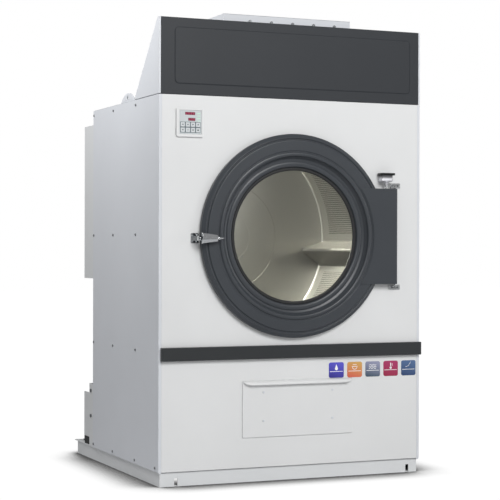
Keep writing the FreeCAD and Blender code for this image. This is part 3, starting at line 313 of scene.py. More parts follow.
lampGreen = glowingPlastic("litLampGreen", "a8d8b8", "b8e8c8", 0.4)
print("materials made:", len(bpy.data.materials))


# Mesh tools: every piece is built in the row frame, in metres, with its object at the origin


def onFront(u, v, depth):
    return (u, depth, v)


def onPlan(u, v, height):
    return (u, v, height)


def fromFront(points, steps=4):
    # A rounded (radius, depth, rounding) outline in mm, as metres with depth from the front sheet.
    return [(p.x * mm, frontY + p.y * mm) for p in fillet(points, True, steps)]


def fillet(points, closed=True, steps=5):
    # Rounds the corners of a flat path; each point is (u, v, radius).
    path = []
    last = len(points) - 1
    for index, (u, v, radius) in enumerate(points):
        here = Vector((u, v))
        if radius <= 0 or (not closed and index in (0, last)):
            path.append(here)
            continue
        before = Vector(points[index - 1][:2]) - here
        after = Vector(points[(index + 1) % len(points)][:2]) - here
        half = before.angle(after) / 2
        reach = min(radius / math.tan(half), before.length * 0.49, after.length * 0.49)
        middle = (before.normalized() + after.normalized()).normalized()
        centre = here + middle * reach / math.cos(half)
        first = here + before.normalized() * reach - centre
        sweep = (math.pi - 2 * half) * (1 if before.cross(after) < 0 else -1)
        for step in range(steps + 1):
            path.append(centre + Matrix.Rotation(sweep * step / steps, 2) @ first)
    return path


def thicken(path, gauge):
    # The closed outline of a bent sheet: the path, and the same path moved aside by the gauge.
    inner = []
    for index, here in enumerate(path):
        before = (here - path[index - 1]).normalized() if index else None
        after = (path[index + 1] - here).normalized() if index < len(path) - 1 else None
        before = before or after
        after = after or before
        along = (before + after).normalized()
        side = Vector((-along.y, along.x))
        inner.append(here + side * gauge / max(0.3, along.dot(after)))
    return path + inner[::-1]


def loft(rings, capped=True):
    bm = bmesh.new()
    loops = [[bm.verts.new(point) for point in ring] for ring in rings]
    count = len(rings[0])
    for low, high in zip(loops, loops[1:]):
        for index in range(count):
            after = (index + 1) % count
            bm.faces.new((low[index], low[after], high[after], high[index]))
    if capped:
        bm.faces.new(loops[0][::-1])
        bm.faces.new(loops[-1])
    bmesh.ops.recalc_face_normals(bm, faces=bm.faces)
    return bm


def extrude(outline, place, low, high):
    return loft([[place(u, v, low) for u, v in outline], [place(u, v, high) for u, v in outline]])


def lathe(profile, centre, axis="Y", steps=192):
    # Turns a closed (radius, distance) outline about the Y or Z axis through centre.
    bm = bmesh.new()
    loops = []
    for step in range(steps):
        angle = math.tau * step / steps
        c, s = math.cos(angle), math.sin(angle)
        if axis == "Y":
            loop = [bm.verts.new((centre[0] + r * c, d, centre[2] + r * s)) for r, d in profile]
        else:
            loop = [bm.verts.new((centre[0] + r * c, centre[1] + r * s, d)) for r, d in profile]
        loops.append(loop)
    count = len(profile)
    for step in range(steps):
        a, b = loops[step], loops[(step + 1) % steps]
        for index in range(count):
            after = (index + 1) % count
            bm.faces.new((a[index], a[after], b[after], b[index]))
    bmesh.ops.remove_doubles(bm, verts=bm.verts, dist=1e-6)
    bmesh.ops.recalc_face_normals(bm, faces=bm.faces)
    return bm


def roundRect(centre, width, height, radius):
    u, v = centre
    w, h = width / 2, height / 2
    corners = [(u - w, v - h, radius), (u + w, v - h, radius), (u + w, v + h, radius), (u - w, v + h, radius)]
    return fillet(corners, True)


def frontRing(centre, width, height, radius, depth):
    return [(u, depth, v) for u, v in roundRect(centre, width, height, radius)]


def stack(place, centre, layers):
    # A solid through layers of rounded rectangles: (width, height, corner radius, depth).
    rings = []
    for width, height, radius, depth in layers:
        rings.append([place(u, v, depth) for u, v in roundRect(centre, width, height, radius)])
    return loft(rings)


def roundedLayers(width, height, corner, back, front, edge):
    # Layers of a slab from its back to its front, with the front edge rounded.
    steps = 4
    sign = 1 if front > back else -1
    layers = [(width, height, corner, back)]
    for step in range(steps + 1):
        angle = math.pi / 2 * step / steps
        inset = edge * (1 - math.cos(angle))
        depth = front - sign * edge * (1 - math.sin(angle))
        layers.append((width - 2 * inset, height - 2 * inset, max(corner - inset, 0.2 * mm), depth))
    return layers


def slab(centre, width, height, corner, back, front, edge):
    return stack(onFront, centre, roundedLayers(width, height, corner, back, front, edge))


def makePiece(name, parts, material, body, replaced=(), bevel=0.0):
    mesh = bpy.data.meshes.new(name)
    whole = bmesh.new()
    for part in parts:
        part.to_mesh(mesh)
        part.free()
        whole.from_mesh(mesh)
    for face in whole.faces:
        face.smooth = True
    whole.to_mesh(mesh)
    whole.free()
    obj = bpy.data.objects.new(name, mesh)
    bpy.context.scene.collection.objects.link(obj)
    mesh.materials.append(material)
    finishEdges(obj, bevel)
    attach(obj, body)
    if replaced:
        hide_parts(*replaced)
    return obj


def finishEdges(obj, bevel, angle=35):
    if bevel:
        rounding = obj.modifiers.new("edges", "BEVEL")
        rounding.width = bevel
        rounding.segments = 2
        rounding.limit_method = "ANGLE"
        rounding.angle_limit = math.radians(angle)
        rounding.use_clamp_overlap = True
        rounding.miter_outer = "MITER_ARC"
    even = obj.modifiers.new("normals", "WEIGHTED_NORMAL")
    even.mode = "FACE_AREA"
    even.weight = 80


def dress(node, material, bevel):
    # A CAD node that still shows: its own mesh, welded and with its edges broken, in a real finish.
    obj = cadNodes[node]
    obj.data.materials.clear()
    obj.data.materials.append(material)
    join = obj.modifiers.new("join", "WELD")
    join.merge_threshold = 0.02 * mm
    finishEdges(obj, bevel, 40)


def reach(node):
    low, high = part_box(node)
    return low, high, (low + high) / 2, high - low


# Cabinet sheets

sideFold = {
    "gauge": 2 * mm, "bend": 3.0 * mm, "frontReturn": 14 * mm, "rearReturn": 30 * mm, "bottom": 68 * mm,
}


def sidePanels():
    low, high, _, _ = reach("side_panels")
    s = sideFold
    for sign, name in ((-1, "sideSheetLeft"), (1, "sideSheetRight")):
        edge = high.x
        path = [
            (edge - s["frontReturn"], low.y, 0), (edge, low.y, s["bend"]),
            (edge, high.y, s["bend"]), (edge - s["rearReturn"], high.y, 0),
        ]
        outline = [(sign * p.x, p.y) for p in thicken(fillet(path, False, 6), s["gauge"])]
        wall = extrude(outline, onPlan, s["bottom"], high.z)
        top = [(edge - s["rearReturn"], low.y + 5 * mm), (edge - s["gauge"], low.y + 5 * mm)]
        top += [(edge - s["gauge"], high.y - 4 * mm), (edge - s["rearReturn"], high.y - 4 * mm)]
        top = [(sign * u, v) for u, v in top]
        lid = extrude(top, onPlan, high.z - s["gauge"], high.z - 0.2 * mm)
        left, right = sign * (edge - s["frontReturn"]), sign * (edge - 3 * mm)
        near, far = low.y, low.y + s["gauge"]
        foot = [(left, near), (right, near), (right, far), (left, far)]
        toe = extrude(foot, onPlan, low.z, s["bottom"] + 1 * mm)
        makePiece(name, [wall, lid, toe], sidePaint, "cabinet", ["side_panels"], 0.35 * mm)


fascia = {"gauge": 2 * mm, "bend": 3 * mm, "foot": 7 * mm, "corner": 16 * mm, "returnDepth": 28 * mm}


def fasciaPan():
    low, _, middle, size = reach("fascia_panel")
    s = fascia
    rise = 3 * mm  # how far the pressed rectangle stands out
    face = low.y + rise
    left, right, bottom, top = -600 * mm, 616 * mm, 1857 * mm, 2108 * mm
    back = frontY + s["returnDepth"]
    layers = [(size.x - 2 * s["gauge"], size.z - 2 * s["gauge"], 1 * mm, face + s["gauge"])]
    layers += [(size.x - 2 * s["gauge"], size.z - 2 * s["gauge"], 1 * mm, back)]
    layers += roundedLayers(size.x, size.z, 2.5 * mm, back, face, s["bend"])
    rings = []
    for width, height, radius, depth in layers:
        rings.append(frontRing((middle.x, middle.z), width, height, radius, depth))
    centre = ((left + right) / 2, (bottom + top) / 2)
    for step in range(9):
        t = step / 8
        ease = t * t * (3 - 2 * t)
        inset = s["foot"] * t
        grow = 2 * s["foot"] - 2 * inset
        radius = s["corner"] + s["foot"] - inset
        rings.append(frontRing(centre, right - left + grow, top - bottom + grow, radius, face - rise * ease))
    makePiece("fasciaPan", [loft(rings)], charcoalPaint, "cabinet", ["fascia_panel"])


def lowerSheet():
    # One sheet with the drawer's opening in it.
    low, high, middle, size = reach("lower_front_panel")
    trayLow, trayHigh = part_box("drawer_front")
    clear = {"side": 8 * mm, "bottom": 9 * mm, "top": 6 * mm}
    left, right = trayLow.x + clear["side"], trayHigh.x - clear["side"]
    bottom, top = trayLow.z + clear["bottom"], trayHigh.z - clear["top"]
    hole = ((left + right) / 2, (bottom + top) / 2)
    outer = [(high.y, 0.2 * mm, 0), (low.y + 0.6 * mm, 0.6 * mm, 0), (low.y, 0.8 * mm, 0.6 * mm)]
    rings = []
    for depth, radius, inset in outer:
        rings.append(frontRing((middle.x, middle.z), size.x - 2 * inset, size.z - 2 * inset, radius, depth))
    for depth in (low.y, high.y):
        rings.append(frontRing(hole, right - left, top - bottom, 1 * mm, depth))
    rings.append(rings[0])
    sheet = loft(rings, False)
    makePiece("lowerFrontSheet", [sheet], whitePaint, "cabinet", ["lower_front_panel"])


def trimBand():
    low, high, middle, size = reach("trim_band")
    band = slab((middle.x, middle.z), size.x, size.z, 1.5 * mm, high.y, low.y, 2.2 * mm)
    makePiece("trimStrip", [band], bandPaint, "cabinet", ["trim_band"])


# Door

ringShape = {
    # radius, depth and rounding, in mm, from the rim inwards over the front and back behind it
    "front": [
        (482, -6, 1), (482, -25, 5), (464, -37.4, 2.5), (461.5, -36.6, 1.5), (458.5, -32.6, 1.2),
        (454.5, -32.6, 1.2), (451, -37.6, 1.6), (448, -38, 1.0), (404, -38, 1.6), (400.5, -35, 1.2),
        (396.5, -35, 1.2), (394.5, -38, 1.2),
    ],
    "outerBead": (385.5, -38, 8.6, 3.6),  # middle radius, foot depth, half width, height
    "valley": [(374, -30, 4), (364, -17, 6), (354, -13.6, 2)],
    "innerBead": (340, -13.6, 12.4, 5.0),
    "back": [
        (326.2, -10.6, 1), (324.4, -7.4, 0.6), (331, -7.1, 0.3), (331, 4, 0), (337, 4, 0.5), (342, -6, 2),
        (352, -10, 2), (358, -8.5, 2), (369, -12, 3), (379, -33, 3), (386, -38.5, 3), (393, -31, 2),
        (404, -31, 2), (452, -29, 2), (462, -29, 2), (476, -21, 3), (476, -6, 0),
    ],
}


def beadArc(bead, steps=14):
    radius, foot, half, height = bead
    points = []
    for step in range(steps + 1):
        angle = math.pi * step / steps
        points.append((radius + half * math.cos(angle), foot - height * math.sin(angle), 0))
    return points


def doorRing():
    s = ringShape
    outline = s["front"] + beadArc(s["outerBead"]) + s["valley"] + beadArc(s["innerBead"]) + s["back"]
    ring = lathe(fromFront(outline), doorCentre, "Y", 256)
    makePiece("doorRingPressed", [ring], doorEnamel, "door", ["door_ring"])


def glassGasket():
    size = reach("glass_gasket")[3]
    outer = size.x / 2 / mm
    outline = [
        (outer, 4.8, 0.6), (outer, -6.7, 0.3), (323.6, -7, 0.3), (322, -9.6, 1.6), (315, -9.9, 2.4),
        (309, -6.6, 1.4),
        (309, -6.1, 0), (325.1, -6.1, 0), (325.1, 2.1, 0), (312, 2.1, 0.4), (312, 4.8, 1.0),
    ]
    ring = lathe(fromFront(outline), doorCentre, "Y", 224)
    makePiece("glassRubber", [ring], blackRubber, "door", ["glass_gasket"])


def mouthCollar():
    # One rolled ring with a softly turned front lip.
    low, _, _, size = reach("mouth_collar")
    outer = size.x / 2 / mm
    deep = size.y / mm
    outline = [(outer, 0, 0.4), (outer - 2, 0, 0.9), (outer - 2, deep, 0.4), (outer, deep, 0.4)]
    profile = [(p.x * mm, low.y + p.y * mm) for p in fillet(outline, True, 4)]
    ring = lathe(profile, doorCentre, "Y", 224)
    makePiece("mouthRing", [ring], whitePaint, "cabinet", ["mouth_collar"])


def doorSeal():
    size = reach("door_seal")[3]
    inner = 364
    outer = size.x / 2 / mm
    outline = [(inner, 0, 0), (inner, -3.2, 1.2), (inner + 8, -5.4, 2.4)]
    outline += [(outer - 8, -5.4, 2.4), (outer, -3.2, 1.2), (outer, 0, 0)]
    ring = lathe(fromFront(outline), doorCentre)
    makePiece("mouthSeal", [ring], blackRubber, "cabinet", ["door_seal"])


# Latch: keeper on the front sheet, base and lever on the door

grip = {
    "pivot": -447 * mm, "left": -494 * mm, "right": -413 * mm, "tip": -384 * mm, "back": -61 * mm,
    "tongueEnd": -500 * mm, "tongueHalf": 5.8 * mm, "tongueThick": 5.8 * mm, "tongueDepth": 51.5 * mm,
    "hub": 13 * mm, "tipDepth": 69 * mm,
}


def gripSection(x, middle, reach, depth, ridge):
    # A six-sided section with softened corners, from the back face out to a front ridge.
    back = -grip["back"]
    shoulder = (back + depth) / 2
    half = [(back, -reach, 1.6 * mm), (shoulder, 3 * mm - reach, 2.2 * mm), (depth, -ridge, 2.2 * mm)]
    path = half + [(y, -height, radius) for y, height, radius in reversed(half)]
    return [(x, frontY - p.x, middle + p.y) for p in fillet(path, True, 4)]


def latchLever():
    g = grip
    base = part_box("latch_base")
    z = (base[0].z + base[1].z) / 2
    stations = [(0.0, 0.86), (0.025, 0.97), (0.07, 1.0), (0.5, 1.0), (0.93, 1.0), (0.98, 0.95), (1.0, 0.84)]
    rings = []
    for t, full in stations:
        reach = (27 - 10 * t) * full * mm
        depth = (-g["back"] / mm + (23 - 5 * t) * full) * mm
        rings.append(gripSection(g["left"] + (g["right"] - g["left"]) * t, z, reach, depth, (8 - 3 * t) * mm))
    body = loft(rings)
    tipShape = [
        (g["right"] - 3 * mm, 8.8), (g["right"] + 2 * mm, 8.0), (g["right"] + 9 * mm, 6.6),
        (g["tip"] - 10 * mm, 4.5), (g["tip"] - 4 * mm, 3.2), (g["tip"] - 1.5 * mm, 2.5), (g["tip"], 1.2),
    ]
    turns = [math.tau * k / 28 for k in range(28)]
    tip = []
    for x, radius in tipShape:
        reach = radius * mm
        tip.append([(x, frontY - g["tipDepth"] + reach * math.cos(a), z + reach * math.sin(a)) for a in turns])
    hub = lathe(
        [(p.x, p.y) for p in fillet(
            [(5.05 * mm, frontY - 48.6 * mm, 0.3 * mm), (g["hub"], frontY - 48.6 * mm, 1.2 * mm),
             (g["hub"], frontY - 62 * mm, 0), (5.05 * mm, frontY - 62 * mm, 0)], True, 4)],
        (g["pivot"], 0, z), "Y", 64,
    )
    tongue = []
    end = g["tongueEnd"]
    for x, scale in ((g["pivot"], 1), (end + 6 * mm, 0.9), (end + 2 * mm, 0.8), (end, 0.5)):
        thick, tall = g["tongueThick"] * min(1, scale + 0.1), 2 * g["tongueHalf"] * scale
        ring = roundRect((frontY - g["tongueDepth"], z), thick, tall, 1.6 * mm)
        tongue.append([(x, u, v) for u, v in ring])
    parts = [body, loft(tip), hub, loft(tongue)]
    makePiece("latchLever", parts, chromePlate, "latch", ["latch_handle"])


def latchBlock():
    low, _, middle, size = reach("latch_base")
    back, front = frontY - 38 * mm, frontY - 45 * mm
    body = slab((-443 * mm, middle.z), 30 * mm, size.z, 5 * mm, back, front, 1.6 * mm)
    post = [(0, front), (5 * mm, front), (5 * mm, low.y), (0, low.y)]
    stud = lathe(post, (grip["pivot"], 0, middle.z), "Y", 48)
    head = [(0, 0), (3.4, 0), (3.3, -1), (2.4, -1.8), (0, -2)]
    head = [(radius * mm, front + depth * mm) for radius, depth in head]
    heads = [lathe(head, (-441 * mm, 0, middle.z + side * 13.5 * mm), "Y", 24) for side in (1, -1)]
    makePiece("latchBlock", [body, stud] + heads, chromePlate, "door", ["latch_base"])


def latchCatch():
    low, high, middle, size = reach("latch_keeper")
    leverZ = reach("latch_base")[2].z
    face = high.y - 3 * mm
    plate = slab((middle.x, middle.z), size.x, size.z, 4 * mm, high.y, face, 1 * mm)
    post = slab((-506 * mm, leverZ - 1 * mm), 6 * mm, 22 * mm, 1.5 * mm, face, low.y, 1.4 * mm)
    shelfZ = leverZ - 9.5 * mm
    shelf = slab((-495.6 * mm, shelfZ), 15.4 * mm, 5 * mm, 1.2 * mm, face, low.y + 2 * mm, 1.2 * mm)
    head = [(0, 0.1), (3.6, 0.1), (3.4, -1.2), (0, -2)]
    head = [(radius * mm, face + depth * mm) for radius, depth in head]
    heads = [lathe(head, (-497 * mm, 0, middle.z + side * 16.5 * mm), "Y", 24) for side in (1, -1)]
    parts = [plate, post, shelf] + heads
    makePiece("latchCatch", parts, chromePlate, "cabinet", ["latch_keeper"])


# Door switch above the hinge


switch = {
    "x": 477 * mm, "stemDepth": 30 * mm, "bottom": 1420 * mm, "joint": 1451 * mm, "top": 1462 * mm,
    # radius, height and rounding, in metres
    "neck": [
        (4.1 * mm, 1421 * mm, 0), (13 * mm, 1421 * mm, 0), (13 * mm, 1418 * mm, 1 * mm),
        (9 * mm, 1413 * mm, 2 * mm), (7.5 * mm, 1406 * mm, 1 * mm), (4.1 * mm, 1406 * mm, 0.3 * mm),
    ],
    "stem": [
        (0, 1386.9 * mm, 0), (5.8 * mm, 1386.9 * mm, 1 * mm), (5.8 * mm, 1390.6 * mm, 0.8 * mm),
        (3.95 * mm, 1391.5 * mm, 0.3 * mm), (3.95 * mm, 1433 * mm, 0.3 * mm), (0, 1433 * mm, 0),
    ],
}


def doorSwitch():
    s = switch
    x = s["x"]
    bodyLayers = roundedLayers(60 * mm, 43 * mm, 6 * mm, s["joint"], s["bottom"], 5 * mm)
    body = stack(onPlan, (x, frontY - 24.5 * mm), bodyLayers)
    bracket = slab((x, 1441 * mm), 52 * mm, 46 * mm, 4 * mm, frontY, frontY - 3 * mm, 0.8 * mm)
    axis = (x, frontY - s["stemDepth"], 0)
    neck = lathe(fillet(s["neck"], True, 4), axis, "Z", 48)
    makePiece("switchBody", [body, bracket, neck], satinZinc, "cabinet", ["door_switch"])
    capLayers = roundedLayers(76 * mm, 47 * mm, 7 * mm, s["joint"] + 0.1 * mm, s["top"], 2.5 * mm)
    cap = stack(onPlan, (x + 4 * mm, frontY - 26.5 * mm), capLayers)
    makePiece("switchCap", [cap], blackNylon, "cabinet")
    stem = lathe(fillet(s["stem"], True, 4), axis, "Z", 40)
    makePiece("switchStem", [stem], chromePlate, "plunger", ["switch_plunger"])


# Control panel

panel = {
    "frameEdge": 2.6 * mm, "recess": 4 * mm, "shell": 98 * mm, "lampX": -497 * mm, "barX": -486.5 * mm,
    "lampTop": 1716.5 * mm, "lampPitch": 11.5 * mm,
    # radius and height over the film, in mm
    "lamp": [(0, 0), (2.0, 0), (1.7, 0.9), (0.8, 1.3), (0, 1.4)],
}


def controlPanel():
    low, high, middle, size = reach("control_bezel")
    filmLow, _, filmMid, filmSize = reach("control_window")
    film = filmLow.y
    front = low.y
    seat = front + panel["recess"]
    outer = roundedLayers(size.x, size.z, 8 * mm, frontY, front, panel["frameEdge"])
    rings = [frontRing((middle.x, middle.z), *layer) for layer in outer]
    openW, openH = filmSize.x + 1 * mm, filmSize.z + 1 * mm
    for grow, r, depth in ((3, 3, front), (1, 2, front + 0.8 * mm), (0, 1.5, front + 2.4 * mm), (0, 1.5, seat)):
        rings.append(frontRing((filmMid.x, filmMid.z), openW + grow * mm, openH + grow * mm, r * mm, depth))
    wide = panel["shell"]
    shell = stack(onFront, (middle.x, middle.z), [(wide, wide, 2 * mm, depth) for depth in (frontY, high.y)])
    makePiece("controlFrame", [loft(rings), shell], whiteAbs, "cabinet", ["control_bezel"])
    sheet = slab((filmMid.x, filmMid.z), filmSize.x, filmSize.z, 1.5 * mm, seat, film, 0.5 * mm)
    makePiece("controlFilm", [sheet], overlayFilm, "cabinet", ["control_window"])
    controlKeys(film)
    display((-530.5 * mm, 1715.5 * mm), 49 * mm, 13 * mm, 4, film, "timeDisplay")
    display((-522.5 * mm, 1688.5 * mm), 35 * mm, 13 * mm, 3, film, "heatDisplay")
    lamps = []
    bars = []
    for row in range(4):
        z = panel["lampTop"] - row * panel["lampPitch"]
        dome = [(radius * mm, film - rise * mm) for radius, rise in panel["lamp"]]
        lamps.append(lathe(dome, (panel["lampX"], 0, z), "Y", 20))
        bars.append(slab(
            (panel["barX"], z), 13 * mm, 2.4 * mm, 1 * mm, film + 0.2 * mm, film - 0.15 * mm, 0.1 * mm))
    makePiece("programLamps", lamps, lampGreen, "cabinet")
    makePiece("lampMarks", bars, lampGreen, "cabinet")


def controlKeys(film):
    keys = [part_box("key_%d" % (index + 1)) for index in range(8)]
    keyLow = Vector([min(k[0][axis] for k in keys) for axis in range(3)])
    keyHigh = Vector([max(k[1][axis] for k in keys) for axis in range(3)])
    field = slab(
        ((keyLow.x + keyHigh.x) / 2, (keyLow.z + keyHigh.z) / 2), keyHigh.x - keyLow.x + 5 * mm,
        keyHigh.z - keyLow.z + 5 * mm, 3 * mm, film + 0.2 * mm, film - 0.25 * mm, 0.2 * mm,
    )
    makePiece("keyField", [field], gridFilm, "cabinet")
    glyphs = keyGlyphs()
    for index, (low, high) in enumerate(keys):
        number = index + 1
        centre = ((low.x + high.x) / 2, (low.z + high.z) / 2)
        width = high.x - low.x
        layers = roundedLayers(width, width, 2.6 * mm, film - 0.4 * mm, low.y, 1.3 * mm)
        layers.append((width - 6 * mm, width - 6 * mm, 3 * mm, low.y + 0.35 * mm))  # the dished top
        layers.append((width - 13 * mm, width - 13 * mm, 3 * mm, low.y + 0.55 * mm))
        cap = stack(onFront, centre, layers)
        root = film - 0.5 * mm
        post = [(0, root), (3.8 * mm, root), (3.8 * mm, high.y - 1 * mm), (0, high.y)]
        stem = lathe(post, (centre[0], 0, centre[1]), "Y", 24)
        body = "key_%d_body" % number
        makePiece("keyCap%d" % number, [cap, stem], keyAbs, body, ["key_%d" % number])
        marks = []
        for outline in glyphs[index]:
            shape = [(centre[0] + u * mm, centre[1] + v * mm) for u, v in outline]
            marks.append(extrude(shape, onFront, low.y + 0.9 * mm, low.y + 0.2 * mm))
        makePiece("keyMark%d" % number, marks, darkInk, body)


def keyGlyphs():
    # Plain generic signs: arrows, plus, minus, a ring, a square, start and stop
    up = [[(-4, -2.5), (4, -2.5), (0, 4)]]
    down = [[(-4, 2.5), (0, -4), (4, 2.5)]]
    plus = [[(-4, -0.9), (-0.9, -0.9), (-0.9, -4), (0.9, -4), (0.9, -0.9), (4, -0.9), (4, 0.9), (0.9, 0.9),
             (0.9, 4), (-0.9, 4), (-0.9, 0.9), (-4, 0.9)]]
    minus = [[(-4, -0.9), (4, -0.9), (4, 0.9), (-4, 0.9)]]
    square = [[(-3.2, -3.2), (3.2, -3.2), (3.2, 3.2), (-3.2, 3.2)]]
    play = [[(-2.8, -4), (4, 0), (-2.8, 4)]]
    pause = [[(x, -3.8), (x + 2.2, -3.8), (x + 2.2, 3.8), (x, 3.8)] for x in (-3.4, 1.2)]
    dot = [[(3 * math.cos(math.tau * k / 20), 3 * math.sin(math.tau * k / 20)) for k in range(20)]]
    return [up, plus, play, dot, down, minus, pause, square]


# Sideways place, height and whether it stands upright, for each bar of a figure
segmentBars = [(0, 1, 0), (1, 0.5, 1), (1, -0.5, 1), (0, -1, 0), (-1, -0.5, 1), (-1, 0.5, 1), (0, 0, 0)]


def display(centre, width, height, digits, filmFront, name):
    # A smoked red window with seven-segment figures, every segment lit.
    window = slab(centre, width, height, 1 * mm, filmFront + 0.3 * mm, filmFront - 0.5 * mm, 0.3 * mm)
    makePiece(name + "Window", [window], displayRed, "cabinet")
    bars = []
    tall = height * 0.33
    wide = tall * 0.52
    for digit in range(digits):
        u = centre[0] + (digit - (digits - 1) / 2) * width / (digits + 0.3)
        for du, dv, upright in segmentBars:
            spot = (u + du * wide, centre[1] + dv * tall)
            long, thin = (tall * 0.8, 0.9 * mm) if upright else (wide * 1.6, 0.9 * mm)
            w, h = (thin, long) if upright else (long, thin)
            layers = [(w, h, 0.3 * mm, filmFront - rise * mm) for rise in (0.45, 0.62)]
            bars.append(stack(onFront, spot, layers))
    makePiece(name + "Figures", bars, segmentRed, "cabinet")


# Function badges

badges = [
    ("Drop", "5d5ad0", "2f2a8e"), ("Bowl", "d9a95e", "d9674e"), ("Waves", "9a9db8", "46586a"),
    ("Heat", "b23a6a", "9c2246"), ("Leaf", "56729c", "2c4570"),
]


def circle(u, v, radius, start=0.0, end=360.0, steps=20):
    points = []
    for step in range(steps + 1):
        angle = math.radians(start + (end - start) * step / steps)
        points.append((u + radius * math.cos(angle), v + radius * math.sin(angle)))
    return points


def strip(points, width):
    # A closed outline of even width along an open flat path.
    return [(p.x, p.y) for p in thicken([Vector(p) for p in points], width)]


def badgeSigns():
    drop = [[(0, 24)] + circle(0, 6, 7, 150, 390, 18)]
    bowl = [strip(circle(0, 12, 12, 190, 350, 16), 2.2)]
    bowl += [strip([(-13, 12), (13, 12)], 2.2), strip([(-9, 20), (9, 20)], 2.0)]
    waves = []
    for row in (2, 9, 16):
        waves.append(strip([(u, row + 2.2 * math.sin(u * 0.42)) for u in range(-17, 18, 2)], 2.0))
    bulb = [circle(0, 3, 5.2, 0, 342, 20), [(-2, 4), (2, 4), (2, 24), (-2, 24)]]
    bulb += [strip([(5, z), (10, z)], 1.4) for z in (10, 15, 20)]
    leaf = [strip([(u, 10 + 0.9 * u + 0.035 * u * u) for u in range(-14, 13, 2)], 1.6)]
    leaf += [strip([(-4, 8), (1 + 0.4 * k, 4 + k)], 1.2) for k in (3, 7, 11)]
    return [drop, bowl, waves, bulb, leaf]


def functionBadges():
    low, high, middle, size = reach("function_badges")
    wide = 80 * mm
    step = (size.x - wide) / 4
    signs = badgeSigns()
    for index, (word, top, bottom) in enumerate(badges):
        x = low.x + wide / 2 + step * index
        shift = x * badgeSlant
        ink = printedBadge("printedLacquer" + word, top, bottom, low.z + shift, high.z + shift)
        plate = slab((x, middle.z), wide, size.z, 10 * mm, high.y, low.y, 0.35 * mm)
        makePiece("badge" + word, [plate], ink, "cabinet", ["function_badges"])
        marks = []
        for outline in signs[index]:
            shape = [(x + u * 1.15 * mm, middle.z + v * 1.15 * mm) for u, v in outline]
            marks.append(extrude(shape, onFront, low.y + 0.1 * mm, low.y - 0.2 * mm))
        left, right, under, over = x - 34 * mm, x + 34 * mm, middle.z - 8 * mm, middle.z - 5.6 * mm
        rule = [(left, under), (right, under), (right, over), (left, over)]
        marks.append(extrude(rule, onFront, low.y + 0.1 * mm, low.y - 0.2 * mm))
        makePiece("badgeSign" + word, marks, whiteInk, "cabinet")


# Lint drawer front

drawer = {
    "edge": 2.0 * mm, "lipDrop": 17 * mm, "lipReach": 18 * mm, "lipEnd": 46 * mm, "lipGauge": 3 * mm,
    "stations": 14, "bendSteps": 8, "setIn": 0.5 * mm, "below": 0.6 * mm,
}


def drawerFront():
    low, high, middle, size = reach("drawer_front")
    s = drawer
    back = high.y
    face = frontY - 6 * mm
    layers = [(size.x - 5 * mm, size.z - 5 * mm, 2 * mm, depth) for depth in (back - 3.4 * mm, back)]
    layers += roundedLayers(size.x, size.z, 3 * mm, back, face, s["edge"])
    front = stack(onFront, (middle.x, middle.z), layers)
    root, top = face + s["setIn"], high.z - s["below"]
    rings = []
    left, right = low.x + 3 * mm, high.x - 3 * mm
    stations, bends = s["stations"], s["bendSteps"]
    spots = [left + s["lipEnd"] * (1 - math.cos(math.pi / 2 * k / stations)) for k in range(stations + 1)]
    spots += [(left + right) / 2] + [left + right - x for x in spots[::-1]]
    for x in spots:
        t = min(1.0, min(x - left, right - x) / s["lipEnd"])
        grow = max(0.03, math.sqrt(max(0.0, 1 - (1 - t) ** 2)))
        out = s["lipReach"] * grow
        drop = s["lipDrop"] * grow
        thick = s["lipGauge"] * max(0.3, grow)
        section = []
        for step in range(bends + 1):
            a = math.pi / 2 * step / bends
            section.append((root - (out + s["setIn"]) * math.sin(a), top - drop * (1 - math.cos(a))))
        section.append((face - out, top - drop - thick * 0.6))
        section.append((face - out + thick * 0.5, top - drop - thick * 0.8))
        for step in range(bends, -1, -1):
            a = math.pi / 2 * step / bends
            inner = (out + s["setIn"]) * math.sin(a) - thick * 0.8
            section.append((root - max(0.0, inner), top - thick - drop * (1 - math.cos(a)) * 0.98))
        rings.append([(x, d, z) for d, z in section])
    makePiece("drawerFace", [front, loft(rings)], whitePaint, "lint_drawer", ["drawer_front"])


# Drum

lifter = {"halfBase": 71.0, "height": 116.0, "ridge": 8.0, "front": 80.0, "rear": 846.0}


def drumShell():
    inner, front, rear = drum["radius"], drum["front"], drum["rear"]
    path = [
        (401, 80, 0), (401, front + 1, 5), (inner + 1, front + 1, 9), (inner + 1, rear + 1.5, 12),
        (283, rear + 1.5, 3), (279, rear - 2, 3), (27, rear - 2, 0),
    ]
    sheet = thicken(fillet(path, False, 6), 2.0)
    profile = [(p.x * mm, frontY + p.y * mm) for p in sheet]
    shell = lathe(profile, doorCentre, "Y", 256)
    makePiece("drumShellRolled", [shell], drumWall, "drum", ["drum_shell"])
    ring = [(inner - 3, rear - 16, 1), (inner - 0.2, rear - 16, 0)]
    ring += [(inner - 0.2, rear - 6, 0), (inner - 3, rear - 6, 1)]
    makePiece("drumRearBead", [lathe(fromFront(ring, 3), doorCentre)], drumSteel, "drum")


